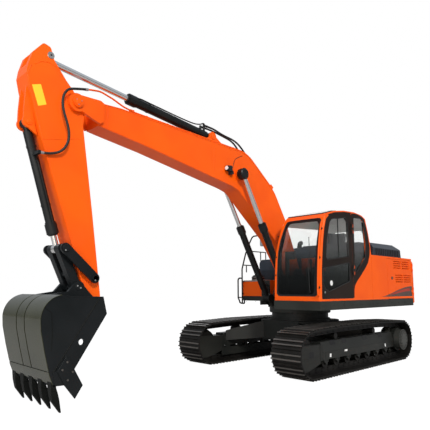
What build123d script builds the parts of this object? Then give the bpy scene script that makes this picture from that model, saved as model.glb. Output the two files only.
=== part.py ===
from build123d import *
from math import cos, hypot, pi, radians, sin, tan
import os

# Crawler excavator of the 22 tonne class, parked with its arm hanging and its bucket dumped.
# Millimetres, +X towards the bucket, +Y to the cab's side, +Z up, the floor at Z = 0.
# Places along X are measured from the swing axis, which stands at swing_x in the model's frame.
os.makedirs("parts", exist_ok=True)

# Overall sizes
track_length = 4445
track_gauge = 2390
shoe_width = 600
track_end_radius = 424
house_half_width = 1370
house_bottom = 1147
deck_top = 1313
side_top = 2245
tail_radius = 2950
arm_front_x = 6305
cab_front_x = 1375
cab_inner_y = 358
pin_gap = 0.3
side_gap = 5
swing_x = (tail_radius - arm_front_x) / 2

# Linkage pins, as (x, z) from the swing axis and the floor, at rest
foot_pin = (320, 1800)
tip_pin = (5585, 4130)
boom_rod_pin = (2160, 3690)
boom_base_pin = (760, 1340)
arm_rod_pin = (5987, 4700)
arm_base_pin = (2770, 4327)
bucket_base_pin = (6219, 3721)
bucket_pin = (5215, 1243)
side_link_pin = (5262, 1680)
link_pin = (5712, 2074)
bucket_link_pin = (5479, 1560)

# Pin radii
large_pin = 48
middle_pin = 42
small_pin = 36


# Planes that stand at the swing axis
def side(y):
    return Plane(origin=(swing_x, y, 0), x_dir=(1, 0, 0), z_dir=(0, -1, 0))


def level(z):
    return Plane(origin=(swing_x, 0, z), x_dir=(1, 0, 0), z_dir=(0, 0, 1))


def across(x):
    return Plane(origin=(swing_x + x, 0, 0), x_dir=(0, 1, 0), z_dir=(1, 0, 0))


def along(start, end, y, distance):
    length = hypot(end[0] - start[0], end[1] - start[1])
    way = ((end[0] - start[0]) / length, (end[1] - start[1]) / length)
    place = (swing_x + start[0] + way[0] * distance, y, start[1] + way[1] * distance)
    return Plane(origin=place, x_dir=(0, 1, 0), z_dir=(way[0], 0, way[1]))


def span(start, end):
    return hypot(end[0] - start[0], end[1] - start[1])


# Both sides of the machine, and the two sides in plan
left_and_right = (1, -1)

# Track chain: pins at one pitch round the loop, shoes on chords between them
shoe_count = 48
grouser_height = 25
shoe_plate = 16
shoe_seat = 66
rail_depth = 45
rail_width = 45
rail_centre = 75
shoe_end_gap = 3
track_y = track_gauge / 2
shoe_outside = shoe_seat + shoe_plate + grouser_height
pin_radius = track_end_radius - shoe_outside
axle_x = track_length / 2 - track_end_radius
top_rise = 34
carrier_x = 760
rail_bottom = shoe_outside + rail_depth

# Path of the chain's pins: floor run, rear turn, raised top run and front turn
bottom_z = shoe_outside
axle_z = track_end_radius
top_z = axle_z + pin_radius
with BuildLine() as chain_path:
    Line((-axle_x, bottom_z), (axle_x, bottom_z))
    ThreePointArc((axle_x, bottom_z), (axle_x + pin_radius, axle_z), (axle_x, top_z))
    Polyline((axle_x, top_z), (carrier_x, top_z + top_rise), (-carrier_x, top_z + top_rise),
             (-axle_x, top_z))
    ThreePointArc((-axle_x, top_z), (-axle_x - pin_radius, axle_z), (-axle_x, bottom_z))
chain_wire = Wire(chain_path.edges())
shoe_pitch = chain_wire.length / shoe_count
idler_radius = pin_radius * cos(shoe_pitch / 2 / pin_radius) - rail_depth - pin_gap
chain_pins = [chain_wire @ (i / shoe_count) for i in range(shoe_count)]

# One shoe's outline on its chord: share of the pitch, then height above the pins
# with columns (along from the chord's near end, or minus from its far end; height)
shoe_rows = [
    (shoe_end_gap, shoe_seat + 4),
    (shoe_end_gap, shoe_outside),
    (22, shoe_seat + shoe_plate),
    (84, shoe_seat + shoe_plate),
    (95, shoe_outside - 3),
    (106, shoe_seat + shoe_plate),
    (168, shoe_seat + shoe_plate),
    (-shoe_end_gap, shoe_outside),
    (-shoe_end_gap, shoe_seat + 4),
]


def chord_point(index, distance, height):
    start = chain_pins[index]
    end = chain_pins[(index + 1) % shoe_count]
    chord = end - start
    way = chord.normalized()
    reach = distance if distance > 0 else chord.length + distance
    return (start.X + way.X * reach + way.Y * height, start.Y + way.Y * reach - way.X * height)


def mitre_point(index, height):
    before = (chain_pins[index] - chain_pins[index - 1]).normalized()
    after = (chain_pins[(index + 1) % shoe_count] - chain_pins[index]).normalized()
    way = (before + after).normalized()
    stretch = height / (way.X * after.X + way.Y * after.Y)
    return (chain_pins[index].X + way.Y * stretch, chain_pins[index].Y - way.X * stretch)


shoe_outline = [chord_point(i, d, h) for i in range(shoe_count) for d, h in shoe_rows]
shoe_inside = [mitre_point(i, shoe_seat - 8) for i in range(shoe_count)]
rail_outside = [mitre_point(i, shoe_seat - 4) for i in range(shoe_count)]
rail_inside = [mitre_point(i, -rail_depth) for i in range(shoe_count)]
track_names = {1: "track_left", -1: "track_right"}
for hand in left_and_right:
    with BuildPart() as track:
        with BuildSketch(side(hand * track_y + shoe_width / 2)):
            Polygon(*shoe_outline, align=None)
            Polygon(*shoe_inside, align=None, mode=Mode.SUBTRACT)
        extrude(amount=shoe_width)
        for rail in left_and_right:
            with BuildSketch(side(hand * track_y + rail * rail_centre + rail_width / 2)):
                Polygon(*rail_outside, align=None)
                Polygon(*rail_inside, align=None, mode=Mode.SUBTRACT)
            extrude(amount=rail_width)
    track.part.label = track_names[hand]
    export_step(track.part, "parts/" + track_names[hand] + ".step")

# Idlers, sprockets and final drives
wheel_half_width = 95
flange_half_width = 40
flange_rise = 22
idler_hub = 95
sprocket_teeth = 21
sprocket_half_width = 32
drive_radius = 215
drive_out = 165
drive_face = 269
drive_cover = 12
tooth_root = idler_radius + 6
tooth_tip = pin_radius - 4
tooth_turn = 2 * pi / sprocket_teeth
tooth_corners = ((tooth_root, -0.36), (tooth_tip, -0.14), (tooth_tip, 0.14), (tooth_root, 0.36))
with BuildPart() as idlers:
    for hand in left_and_right:
        with BuildSketch(side(hand * track_y + wheel_half_width)):
            with Locations((axle_x, axle_z)):
                Circle(idler_radius)
        extrude(amount=2 * wheel_half_width)
        with BuildSketch(side(hand * track_y + flange_half_width)):
            with Locations((axle_x, axle_z)):
                Circle(idler_radius + flange_rise)
        extrude(amount=2 * flange_half_width)
        with BuildSketch(side(hand * track_y + wheel_half_width + 35)):
            with Locations((axle_x, axle_z)):
                Circle(idler_hub)
        extrude(amount=2 * wheel_half_width + 70)
idlers.part.label = "idlers"
export_step(idlers.part, "parts/idlers.step")

teeth = []
for tooth in range(sprocket_teeth):
    for radius, share in tooth_corners:
        angle = tooth_turn * (tooth + share)
        teeth.append((-axle_x + radius * cos(angle), axle_z + radius * sin(angle)))
with BuildPart() as sprockets:
    for hand in left_and_right:
        with BuildSketch(side(hand * track_y + sprocket_half_width)):
            Polygon(*teeth, align=None)
        extrude(amount=2 * sprocket_half_width)
        with BuildSketch(side(hand * track_y + (drive_face if hand > 0 else drive_out))):
            with Locations((-axle_x, axle_z)):
                Circle(drive_radius)
        extrude(amount=drive_out + drive_face)
        with BuildSketch(side(hand * (track_y + drive_face) + (drive_cover if hand > 0 else 0))):
            with Locations((-axle_x, axle_z)):
                Circle(drive_radius - 45)
        extrude(amount=drive_cover)
sprockets.part.label = "sprockets"
export_step(sprockets.part, "parts/sprockets.step")

# Lower and carrier rollers
lower_roller_count = 7
lower_roller_radius = 78
lower_roller_spacing = 395
lower_roller_flange = 96
roller_sides = 24
roller_shaft = 38
lower_roller_z = rail_bottom + lower_roller_radius + pin_gap
carrier_roller_radius = 60
carrier_dip = 1.8
carrier_roller_z = top_z + top_rise - rail_depth - carrier_roller_radius - carrier_dip
frame_half_width = 150
lower_roller_places = [
    (lower_roller_spacing * (i - (lower_roller_count - 1) / 2), lower_roller_z)
    for i in range(lower_roller_count)
]
with BuildPart() as lower_rollers:
    for hand in left_and_right:
        with BuildSketch(side(hand * track_y + 98)):
            with Locations(*lower_roller_places):
                RegularPolygon(lower_roller_radius, roller_sides)
        extrude(amount=196)
        for flange in left_and_right:
            with BuildSketch(side(hand * track_y + flange * 112 + 8)):
                with Locations(*lower_roller_places):
                    RegularPolygon(lower_roller_flange, roller_sides)
            extrude(amount=16)
        with BuildSketch(side(hand * track_y + frame_half_width)):
            with Locations(*lower_roller_places):
                RegularPolygon(roller_shaft, roller_sides)
        extrude(amount=2 * frame_half_width)
lower_rollers.part.label = "lower_rollers"
export_step(lower_rollers.part, "parts/lower_rollers.step")

with BuildPart() as carrier_rollers:
    for hand in left_and_right:
        with BuildSketch(side(hand * track_y + 100)):
            with Locations((carrier_x, carrier_roller_z), (-carrier_x, carrier_roller_z)):
                Circle(carrier_roller_radius)
        extrude(amount=200)
carrier_rollers.part.label = "carrier_rollers"
export_step(carrier_rollers.part, "parts/carrier_rollers.step")

# Track frames: box beam on the rollers, yoke round the idler, ring for the final drive
frame_front_x = 1300
frame_rear_x = -1610
frame_bottom = lower_roller_z + lower_roller_flange + 8
frame_shoulder = 500
outer_shoulder = 415
frame_top = 590
ledge_half_width = 96
yoke_slot = wheel_half_width + 12
frame_names = {1: "track_frame_left", -1: "track_frame_right"}
for hand in left_and_right:
    with BuildPart() as track_frame:
        with BuildSketch(across(frame_rear_x)):
            with BuildLine():
                Polyline(
                    (hand * (track_y - frame_half_width), frame_bottom),
                    (hand * (track_y + frame_half_width), frame_bottom),
                    (hand * (track_y + frame_half_width), outer_shoulder),
                    (hand * (track_y + ledge_half_width), frame_top),
                    (hand * (track_y - ledge_half_width), frame_top),
                    (hand * (track_y - frame_half_width), frame_shoulder),
                    close=True,
                )
            make_face()
        extrude(amount=frame_front_x - frame_rear_x)
        # Roller carriers under the beam
        for cheek in left_and_right:
            with BuildSketch(side(hand * track_y + cheek * (frame_half_width - 12) + 12)):
                with Locations(*[(x, frame_bottom - 45) for x, z in lower_roller_places]):
                    Rectangle(150, 100)
            extrude(amount=24)
        with BuildSketch(side(hand * track_y + frame_half_width)):
            with Locations(*lower_roller_places):
                Circle(roller_shaft + pin_gap)
        extrude(amount=2 * frame_half_width, mode=Mode.SUBTRACT)
        # Idler yoke
        with BuildSketch(side(hand * track_y + frame_half_width)):
            Polygon(
                (frame_front_x - 10, frame_bottom - 60),
                (axle_x - 60, axle_z - 150),
                (axle_x + 60, axle_z - 110),
                (axle_x + 60, axle_z + 110),
                (frame_front_x - 10, axle_z + 125),
                align=None,
            )
        extrude(amount=2 * frame_half_width)
        with BuildSketch(side(hand * track_y + yoke_slot)):
            with Locations((axle_x, axle_z)):
                Circle(idler_radius + flange_rise + 12)
                with Locations((200, 0)):
                    Rectangle(400, 2 * idler_radius + 80)
        extrude(amount=2 * yoke_slot, mode=Mode.SUBTRACT)
        with BuildSketch(side(hand * track_y + frame_half_width)):
            with Locations((axle_x, axle_z)):
                Circle(idler_hub + pin_gap)
        extrude(amount=2 * frame_half_width, mode=Mode.SUBTRACT)
        # Rear ring that carries the final drive
        with BuildSketch(side(hand * track_y + frame_half_width)):
            with BuildLine():
                Polyline(
                    (frame_rear_x + 20, frame_bottom),
                    (frame_rear_x + 20, frame_top - 20),
                    (-axle_x + 60, axle_z + drive_radius + 15),
                    (-axle_x + 60, axle_z - drive_radius - 15),
                    close=True,
                )
            make_face()
            with Locations((-axle_x, axle_z)):
                Circle(drive_radius + 30)
        extrude(amount=2 * frame_half_width)
        with BuildSketch(side(hand * track_y + frame_half_width + 1)):
            with Locations((-axle_x, axle_z)):
                Circle(drive_radius + pin_gap)
        extrude(amount=2 * frame_half_width + 2, mode=Mode.SUBTRACT)
        with BuildSketch(side(hand * track_y + 58)):
            with Locations((-axle_x, axle_z)):
                Circle(pin_radius + 20)
        extrude(amount=116, mode=Mode.SUBTRACT)
        # Posts of the carrier rollers
        for post in left_and_right:
            with BuildSketch(side(hand * track_y - 106)):
                with Locations((post * carrier_x, (carrier_roller_z + frame_top) / 2 - 20)):
                    Rectangle(80, carrier_roller_z - frame_top + 60)
            extrude(amount=24)
            with BuildSketch(side(hand * track_y - 100 - pin_gap)):
                with Locations((post * carrier_x, carrier_roller_z)):
                    Circle(30)
            extrude(amount=10)
    track_frame.part.label = frame_names[hand]
    export_step(track_frame.part, "parts/" + frame_names[hand] + ".step")

# Car body: centre box with four legs that end on the track frames
body_bottom = 490
body_top = 880
body_half_length = 720
body_half_width = 620
leg_end_y = track_y - frame_half_width
with BuildPart() as car_body:
    with BuildSketch(level(body_bottom)):
        Rectangle(2 * body_half_length, 2 * body_half_width)
        chamfer(vertices(), 160)
    extrude(amount=body_top - body_bottom)
    for end in left_and_right:
        for hand in left_and_right:
            with BuildSketch(side(hand * 400)):
                with Locations((end * 480, 690)):
                    Rectangle(420, 360)
            with BuildSketch(side(hand * leg_end_y)):
                with Locations((end * 1010, 545)):
                    Rectangle(480, 210)
            loft()
    with BuildSketch(level(body_top - 20)):
        Circle(640)
    extrude(amount=60)
car_body.part.label = "car_body"
export_step(car_body.part, "parts/car_body.step")

# Swing bearing: the fixed ring below and the turning ring under the deck
ring_radius = 600
ring_bottom = body_top + 40
ring_split = 1040
with BuildPart() as swing_bearing:
    with BuildSketch(level(ring_bottom)):
        Circle(ring_radius)
        Circle(ring_radius - 110, mode=Mode.SUBTRACT)
    extrude(amount=ring_split - ring_bottom)
swing_bearing.part.label = "swing_bearing"
export_step(swing_bearing.part, "parts/swing_bearing.step")

# Revolving deck: turning ring, floor plate, skirts and the beams under the boom
deck_rear_x = -2690
right_front_x = 300
boom_bay_x = 640
skirt_width = 60
tank_platform_x = -330
platform_rise = 115
with BuildPart() as deck:
    with BuildSketch(level(ring_split + pin_gap)):
        Circle(ring_radius + 50)
        Circle(ring_radius - 160, mode=Mode.SUBTRACT)
    extrude(amount=house_bottom + 20 - ring_split - pin_gap)
    with BuildSketch(level(house_bottom)):
        Polygon(
            (deck_rear_x, -house_half_width),
            (right_front_x, -house_half_width),
            (right_front_x, -cab_inner_y),
            (boom_bay_x, -cab_inner_y),
            (boom_bay_x, cab_inner_y),
            (cab_front_x, cab_inner_y),
            (cab_front_x, house_half_width),
            (deck_rear_x, house_half_width),
            align=None,
        )
    extrude(amount=deck_top - house_bottom)
    # The floor plate is open below between its skirts
    with BuildSketch(level(house_bottom)):
        for hand, front_x in ((1, cab_front_x - skirt_width), (-1, right_front_x - skirt_width)):
            Polygon(
                (-700, hand * (ring_radius + 110)),
                (front_x, hand * (ring_radius + 110)),
                (front_x, hand * (house_half_width - skirt_width)),
                (deck_rear_x + skirt_width, hand * (house_half_width - skirt_width)),
                (deck_rear_x + skirt_width, hand * (ring_radius + 110)),
                align=None,
            )
    extrude(amount=110, mode=Mode.SUBTRACT)
    # The right front platform stands higher and is shallower
    with BuildSketch(level(house_bottom)):
        Polygon(
            (tank_platform_x, -house_half_width),
            (right_front_x, -house_half_width),
            (right_front_x, -cab_inner_y - 200),
            (tank_platform_x, -cab_inner_y - 200),
            align=None,
        )
    extrude(amount=platform_rise, mode=Mode.SUBTRACT)
    with BuildSketch(level(house_bottom + platform_rise)):
        Polygon(
            (tank_platform_x + 10, -house_half_width),
            (right_front_x, -house_half_width),
            (right_front_x, -cab_inner_y - 200),
            (tank_platform_x + 10, -cab_inner_y - 200),
            align=None,
        )
    extrude(amount=1369 - house_bottom - platform_rise)
deck.part.label = "deck"
export_step(deck.part, "parts/deck.step")

# Boom bracket: two plates on the deck with the foot pin and the cylinders' base pins
bracket_inner = 183
bracket_plate = 40
boom_cylinder_y = 282
eye_half_width = 46
bracket_outer = boom_cylinder_y + eye_half_width + side_gap
with BuildPart() as boom_bracket:
    for hand in left_and_right:
        with BuildSketch(side(hand * (bracket_inner + bracket_plate / 2) + bracket_plate / 2)):
            Polygon(
                (-600, deck_top),
                (-600, deck_top + 200),
                (-250, deck_top + 330),
                (foot_pin[0] - 130, foot_pin[1] + 60),
                (foot_pin[0] + 130, foot_pin[1] + 60),
                (boom_base_pin[0] - 100, boom_base_pin[1] + 60),
                (boom_base_pin[0] - 60, deck_top),
                align=None,
            )
            with Locations(foot_pin):
                Circle(155)
            with Locations(boom_base_pin):
                Circle(88)
            Polygon(
                (boom_base_pin[0] - 80, boom_base_pin[1] - 27),
                (boom_base_pin[0], boom_base_pin[1] - 88),
                (boom_base_pin[0] - 80, house_bottom + 20),
                (boom_bay_x, house_bottom + 20),
                (boom_bay_x, deck_top + 60),
                align=None,
            )
        extrude(amount=bracket_plate)
        with BuildSketch(side(hand * (bracket_outer + 7) + 7)):
            with Locations(boom_base_pin):
                Circle(80)
            Polygon(
                (boom_base_pin[0] - 80, boom_base_pin[1]),
                (boom_base_pin[0], boom_base_pin[1] - 80),
                (boom_bay_x, house_bottom + 20),
                (boom_bay_x, boom_base_pin[1]),
                align=None,
            )
        extrude(amount=14)
        pin_length = bracket_outer + 14 - bracket_inner
        pin_middle = hand * (bracket_inner + bracket_outer + 14) / 2
        with BuildSketch(side(pin_middle + pin_length / 2)):
            with Locations(boom_base_pin):
                Circle(middle_pin)
        extrude(amount=pin_length)
    with BuildSketch(side(bracket_inner + bracket_plate + 12)):
        with Locations(foot_pin):
            Circle(large_pin)
    extrude(amount=2 * (bracket_inner + bracket_plate + 12))
boom_bracket.part.label = "boom_bracket"
export_step(boom_bracket.part, "parts/boom_bracket.step")

# House walls, and the counterweight's lifting holes
wall = 40
lifting_x = -2750
lifting_y = 620
lifting_radius = 15
lifting_depths = (90, 80)

# Hinge knuckles: each door's own ones have a fixed one above and below
knuckle_radius = 12
knuckle_length = 60
leaf_length = 70
hinge_y = house_half_width + knuckle_radius
door_hinge_x = deck_rear_x + 6
door_knuckles = (1480, 2040)

# Counterweight: a block between the side doors that widens behind them, with a shallow curved tail
weight_front_x = -2440
weight_inner_y = 1300
weight_bottom = 1175
weight_corner_x = 2885
weight_corner = 170
weight_edge = 120
with BuildPart() as counterweight:
    with BuildSketch(level(weight_bottom)):
        with BuildLine():
            Polyline(
                (deck_rear_x - pin_gap, -house_half_width),
                (deck_rear_x - pin_gap, house_half_width),
                (-weight_corner_x, house_half_width),
                (15 - tail_radius, 700),
                (-tail_radius, 250),
                (-tail_radius, -250),
                (15 - tail_radius, -700),
                (-weight_corner_x, -house_half_width),
                close=True,
            )
        make_face()
        corners = vertices().filter_by(lambda v: abs(v.X + weight_corner_x) < 1)
        fillet(corners, weight_corner)
    extrude(amount=side_top - weight_bottom)
    rear_edges = counterweight.edges().filter_by(lambda e: e.center().X < swing_x + deck_rear_x - 5)
    fillet(rear_edges.group_by(Axis.Z)[-1], weight_edge)
    rear_edges = counterweight.edges().filter_by(lambda e: e.center().X < swing_x + deck_rear_x - 5)
    chamfer(rear_edges.group_by(Axis.Z)[0], 45)
    with BuildSketch(level(deck_top + pin_gap)):
        Polygon(
            (deck_rear_x - 10, -weight_inner_y),
            (weight_front_x, -weight_inner_y),
            (weight_front_x, weight_inner_y),
            (deck_rear_x - 10, weight_inner_y),
            align=None,
        )
    extrude(amount=side_top - wall - deck_top - 2 * pin_gap)
    # Lifting eyes: two threaded holes in the top
    for hand, lifting_depth in zip(left_and_right, lifting_depths):
        with BuildSketch(level(side_top)):
            with Locations((lifting_x, hand * lifting_y)):
                Circle(lifting_radius)
        extrude(amount=-lifting_depth, mode=Mode.SUBTRACT)
    # Fixed knuckles and leaves of the service doors
    for hand in left_and_right:
        for middle in door_knuckles:
            for end in left_and_right:
                with BuildSketch(level(middle + end * (knuckle_length + pin_gap) - knuckle_length / 2)):
                    with Locations((door_hinge_x, hand * hinge_y)):
                        Circle(knuckle_radius)
                    with Locations((door_hinge_x - leaf_length / 2, hand * (house_half_width + 3))):
                        Rectangle(leaf_length, 6)
                extrude(amount=knuckle_length)
counterweight.part.label = "counterweight"
export_step(counterweight.part, "parts/counterweight.step")

# Engine, as one plain block behind the side doors
engine_rear_x = -2300
engine_front_x = -1310
engine_right_y = -700
engine_left_y = 650
engine_top = 2100
with BuildPart() as engine:
    with BuildSketch(level(deck_top)):
        Polygon(
            (engine_rear_x, engine_right_y),
            (engine_front_x, engine_right_y),
            (engine_front_x, engine_left_y),
            (engine_rear_x, engine_left_y),
            align=None,
        )
    extrude(amount=engine_top - deck_top)
engine.part.label = "engine"
export_step(engine.part, "parts/engine.step")

# Hinge line of the engine hood, in front of it on the roof deck
hood_front_x = -1010
hood_hinge_x = hood_front_x + knuckle_radius
hood_hinge_z = side_top + knuckle_radius + pin_gap
hood_knuckles = (800, -200)

# Machine house: front panel of the left side, right wall, front wall and roof deck
left_panel_front = -650
left_door_front = -1375
house_front_x = -520
with BuildPart() as body_panels:
    # Left panel between the cab and the service door
    with BuildSketch(side(house_half_width)):
        Polygon(
            (left_panel_front, deck_top),
            (left_panel_front, side_top),
            (left_door_front, side_top),
            (left_door_front, deck_top),
            align=None,
        )
    extrude(amount=wall)
    # Roof deck with the bay over the engine left open
    with BuildSketch(level(side_top - wall)):
        Polygon(
            (deck_rear_x, -house_half_width),
            (-1300, -house_half_width),
            (-1300, -cab_inner_y),
            (left_panel_front, -cab_inner_y),
            (left_panel_front, house_half_width),
            (deck_rear_x, house_half_width),
            align=None,
        )
        with Locations((-1785, 80)):
            Rectangle(1270, 2160, mode=Mode.SUBTRACT)
    extrude(amount=wall)
    # Front wall behind the cab and the boom
    with BuildSketch(level(deck_top)):
        Polygon(
            (left_panel_front - wall, -cab_inner_y),
            (left_panel_front, -cab_inner_y),
            (left_panel_front, house_half_width - wall),
            (left_panel_front - wall, house_half_width - wall),
            align=None,
        )
    extrude(amount=side_top - wall - deck_top)
    # Fixed knuckles of the hood
    for y in hood_knuckles:
        for end in left_and_right:
            with BuildSketch(side(y + end * (knuckle_length + pin_gap) + knuckle_length / 2)):
                with Locations((hood_hinge_x, hood_hinge_z)):
                    Circle(knuckle_radius)
                with Locations((hood_hinge_x, side_top + 6)):
                    Rectangle(16, 14)
            extrude(amount=knuckle_length)
body_panels.part.label = "body_panels"
export_step(body_panels.part, "parts/body_panels.step")

# Service doors on both sides of the engine bay
door_gap = 6
louvre_groups = ((-2110, 2075), (-2190, 1765))
louvre_width = 400
louvre_height = 26
louvre_pitch = 50
door_names = {1: "left_door", -1: "right_door"}
door_front = {1: left_door_front, -1: -1300}
for hand in left_and_right:
    with BuildPart() as service_door:
        with BuildSketch(side(hand * (house_half_width - wall / 2) + wall / 2)):
            Polygon(
                (door_front[hand] - door_gap, deck_top + door_gap),
                (door_front[hand] - door_gap, side_top - wall - door_gap),
                (door_hinge_x, side_top - wall - door_gap),
                (door_hinge_x, deck_top + door_gap),
                align=None,
            )
        extrude(amount=wall)
        for group_x, group_z in louvre_groups:
            with BuildSketch(side(hand * (house_half_width - wall / 2) + wall)):
                with Locations((group_x, group_z)):
                    with GridLocations(louvre_width + 40, louvre_pitch, 2, 4):
                        Rectangle(louvre_width, louvre_height)
            extrude(amount=2 * wall, mode=Mode.SUBTRACT)
        for middle in door_knuckles:
            with BuildSketch(level(middle - knuckle_length / 2)):
                with Locations((door_hinge_x, hand * hinge_y)):
                    Circle(knuckle_radius)
                with Locations((door_hinge_x + leaf_length / 2, hand * (house_half_width + 3))):
                    Rectangle(leaf_length, 6)
            extrude(amount=knuckle_length)
    service_door.part.label = door_names[hand]
    export_step(service_door.part, "parts/" + door_names[hand] + ".step")

# Engine hood: raised lid, sloped at its ends and along its sides
hood_rear_x = -2485
hood_side_y = 1215
hood_right_y = -1040
hood_top = 2560
hood_wall = 25
hood_profile = (
    (hood_front_x, side_top + 3),
    (hood_front_x - 85, 2550),
    (-2209, hood_top),
    (-2455, 2460),
    (hood_rear_x, side_top + 3),
)
with BuildPart() as engine_hood:
    with BuildSketch(side(hood_side_y)):
        Polygon(*hood_profile, align=None)
    extrude(amount=hood_side_y - hood_right_y)
    with BuildSketch(across(hood_rear_x - 10)):
        Polygon(
            (hood_right_y, side_top),
            (hood_side_y, side_top),
            (hood_side_y, 2440),
            (hood_side_y - 90, hood_top + 10),
            (hood_right_y + 90, hood_top + 10),
            (hood_right_y, 2440),
            align=None,
        )
    extrude(amount=hood_front_x - hood_rear_x + 20, mode=Mode.INTERSECT)
    with BuildSketch(level(side_top + 3)):
        with Locations(((hood_front_x + hood_rear_x) / 2 - 20, (hood_side_y + hood_right_y) / 2)):
            Rectangle(hood_front_x - hood_rear_x - 160, hood_side_y - hood_right_y - 2 * hood_wall)
    extrude(amount=2440 - side_top - 3 - hood_wall, mode=Mode.SUBTRACT)
    # Raised middle panel
    with BuildSketch(level(hood_top - 6)):
        with Locations((-1650, (hood_side_y + hood_right_y) / 2)):
            Rectangle(980, 1500)
    extrude(amount=26)
    for y in hood_knuckles:
        with BuildSketch(side(y + knuckle_length / 2)):
            with Locations((hood_hinge_x, hood_hinge_z)):
                Circle(knuckle_radius)
            with Locations((hood_hinge_x - 9, hood_hinge_z + 6)):
                Rectangle(18, 12)
        extrude(amount=knuckle_length)
engine_hood.part.label = "engine_hood"
export_step(engine_hood.part, "parts/engine_hood.step")

# Exhaust stack through the roof deck
with BuildPart() as exhaust:
    with BuildSketch(level(side_top)):
        with Locations((-1800, -1180)):
            Circle(65)
            Circle(58, mode=Mode.SUBTRACT)
    extrude(amount=420)
exhaust.part.label = "exhaust"
export_step(exhaust.part, "parts/exhaust.step")

# Tanks and tool box along the right side
tank_front_x = -330
tank_rear_x = -1290
tank_round = 110
box_top = 1731
box_bottom = 1369
box_inner_y = -560
with BuildPart() as fuel_tank:
    with BuildSketch(side(-cab_inner_y)):
        Polygon(
            (tank_rear_x, deck_top + pin_gap),
            (tank_front_x, deck_top + pin_gap),
            (tank_front_x, side_top),
            (tank_rear_x, side_top),
            align=None,
        )
    extrude(amount=house_half_width - cab_inner_y)
    outer_edges = fuel_tank.edges().filter_by(lambda e: e.center().Y < -house_half_width + 1)
    fillet(outer_edges.group_by(Axis.Z)[-1], tank_round)
    # Filler cap and a bracket of the step beside it
    with BuildSketch(level(side_top)):
        with Locations((-620, -1000)):
            Circle(75)
    extrude(amount=45)
fuel_tank.part.label = "fuel_tank"
export_step(fuel_tank.part, "parts/fuel_tank.step")

with BuildPart() as tool_box:
    with BuildSketch(side(box_inner_y)):
        Polygon(
            (tank_front_x + pin_gap, box_bottom + pin_gap),
            (right_front_x, box_bottom + pin_gap),
            (right_front_x, box_top),
            (tank_front_x + pin_gap, box_top),
            align=None,
        )
    extrude(amount=house_half_width + box_inner_y)
    chamfer(tool_box.edges().filter_by(Axis.Y).sort_by(Axis.X)[-2:].sort_by(Axis.Z)[-1], 14)
tool_box.part.label = "tool_box"
export_step(tool_box.part, "parts/tool_box.step")

# Air cleaner on the tool box
with BuildPart() as air_cleaner:
    with BuildSketch(level(box_top + pin_gap)):
        with Locations((60, -1100)):
            Circle(150)
    extrude(amount=125)
    chamfer(air_cleaner.edges().group_by(Axis.Z)[-1], 40)
air_cleaner.part.label = "air_cleaner"
export_step(air_cleaner.part, "parts/air_cleaner.step")

# Handrails and the step at the right front corner
rail_tube = 17
guard_bar = 13
rail_sides = 10
rail_y = -house_half_width + rail_tube
tall_rail_x = right_front_x + 45
step_front_x = right_front_x + 190
step_top = box_top + 54
post_y = rail_y + 12
post_foot = side_top - 22
mirror_x = -430
with BuildPart() as handrails:
    with BuildLine() as step_rail:
        FilletPolyline(
            (swing_x + tall_rail_x, rail_y, step_top),
            (swing_x + step_front_x, rail_y, step_top),
            (swing_x + step_front_x, rail_y, 1330),
            (swing_x + step_front_x - 70, rail_y, 1205),
            (swing_x + right_front_x - 30, rail_y, 1190),
            (swing_x + right_front_x - 30, rail_y, 1262),
            radius=(60, 60, 60, 30),
        )
    with BuildSketch(Plane(origin=step_rail.line @ 0, z_dir=step_rail.line % 0)):
        RegularPolygon(rail_tube, rail_sides)
    sweep()
    with BuildLine() as tall_rail:
        FilletPolyline(
            (swing_x + tall_rail_x, rail_y, 1198),
            (swing_x + tall_rail_x, rail_y, 2000),
            (swing_x + 210, rail_y, 2370),
            (swing_x + 60, rail_y, 2640),
            (swing_x - 60, rail_y, 2810),
            (swing_x + mirror_x + 23, rail_y, 2875),
            radius=(200, 300, 200, 150),
        )
    with BuildSketch(Plane(origin=tall_rail.line @ 0, z_dir=tall_rail.line % 0)):
        RegularPolygon(rail_tube, rail_sides)
    sweep()
    # Rung of the step, brackets on the tool box, guard bars and their posts
    bars = (
        (tall_rail_x, step_front_x, rail_y, 1335),
        (right_front_x + pin_gap, tall_rail_x, rail_y, box_top - 30),
        (right_front_x + pin_gap, tall_rail_x, rail_y, 1420),
        (-190, 310, post_y, 2095),
        (-545, 172, post_y, 2440),
    )
    for end_x, start_x, y, z in bars:
        with BuildSketch(across(end_x)):
            with Locations((y, z)):
                RegularPolygon(guard_bar, rail_sides)
        extrude(amount=start_x - end_x)
    posts = (
        (-190, box_top + pin_gap, 2095),
        (200, 1925, 2095),
        (-345, post_foot, 2440),
        (-545, post_foot, 2440),
    )
    for x, bottom, top in posts:
        with BuildSketch(level(bottom)):
            with Locations((x, post_y)):
                RegularPolygon(guard_bar, rail_sides)
        extrude(amount=top - bottom)
    # Mirror on the end of the tall rail
    with BuildSketch(across(mirror_x)):
        with Locations((rail_y + 60, 2740)):
            RectangleRounded(190, 300, 30)
    extrude(amount=46)
handrails.part.label = "handrails"
export_step(handrails.part, "parts/handrails.step")

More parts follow.
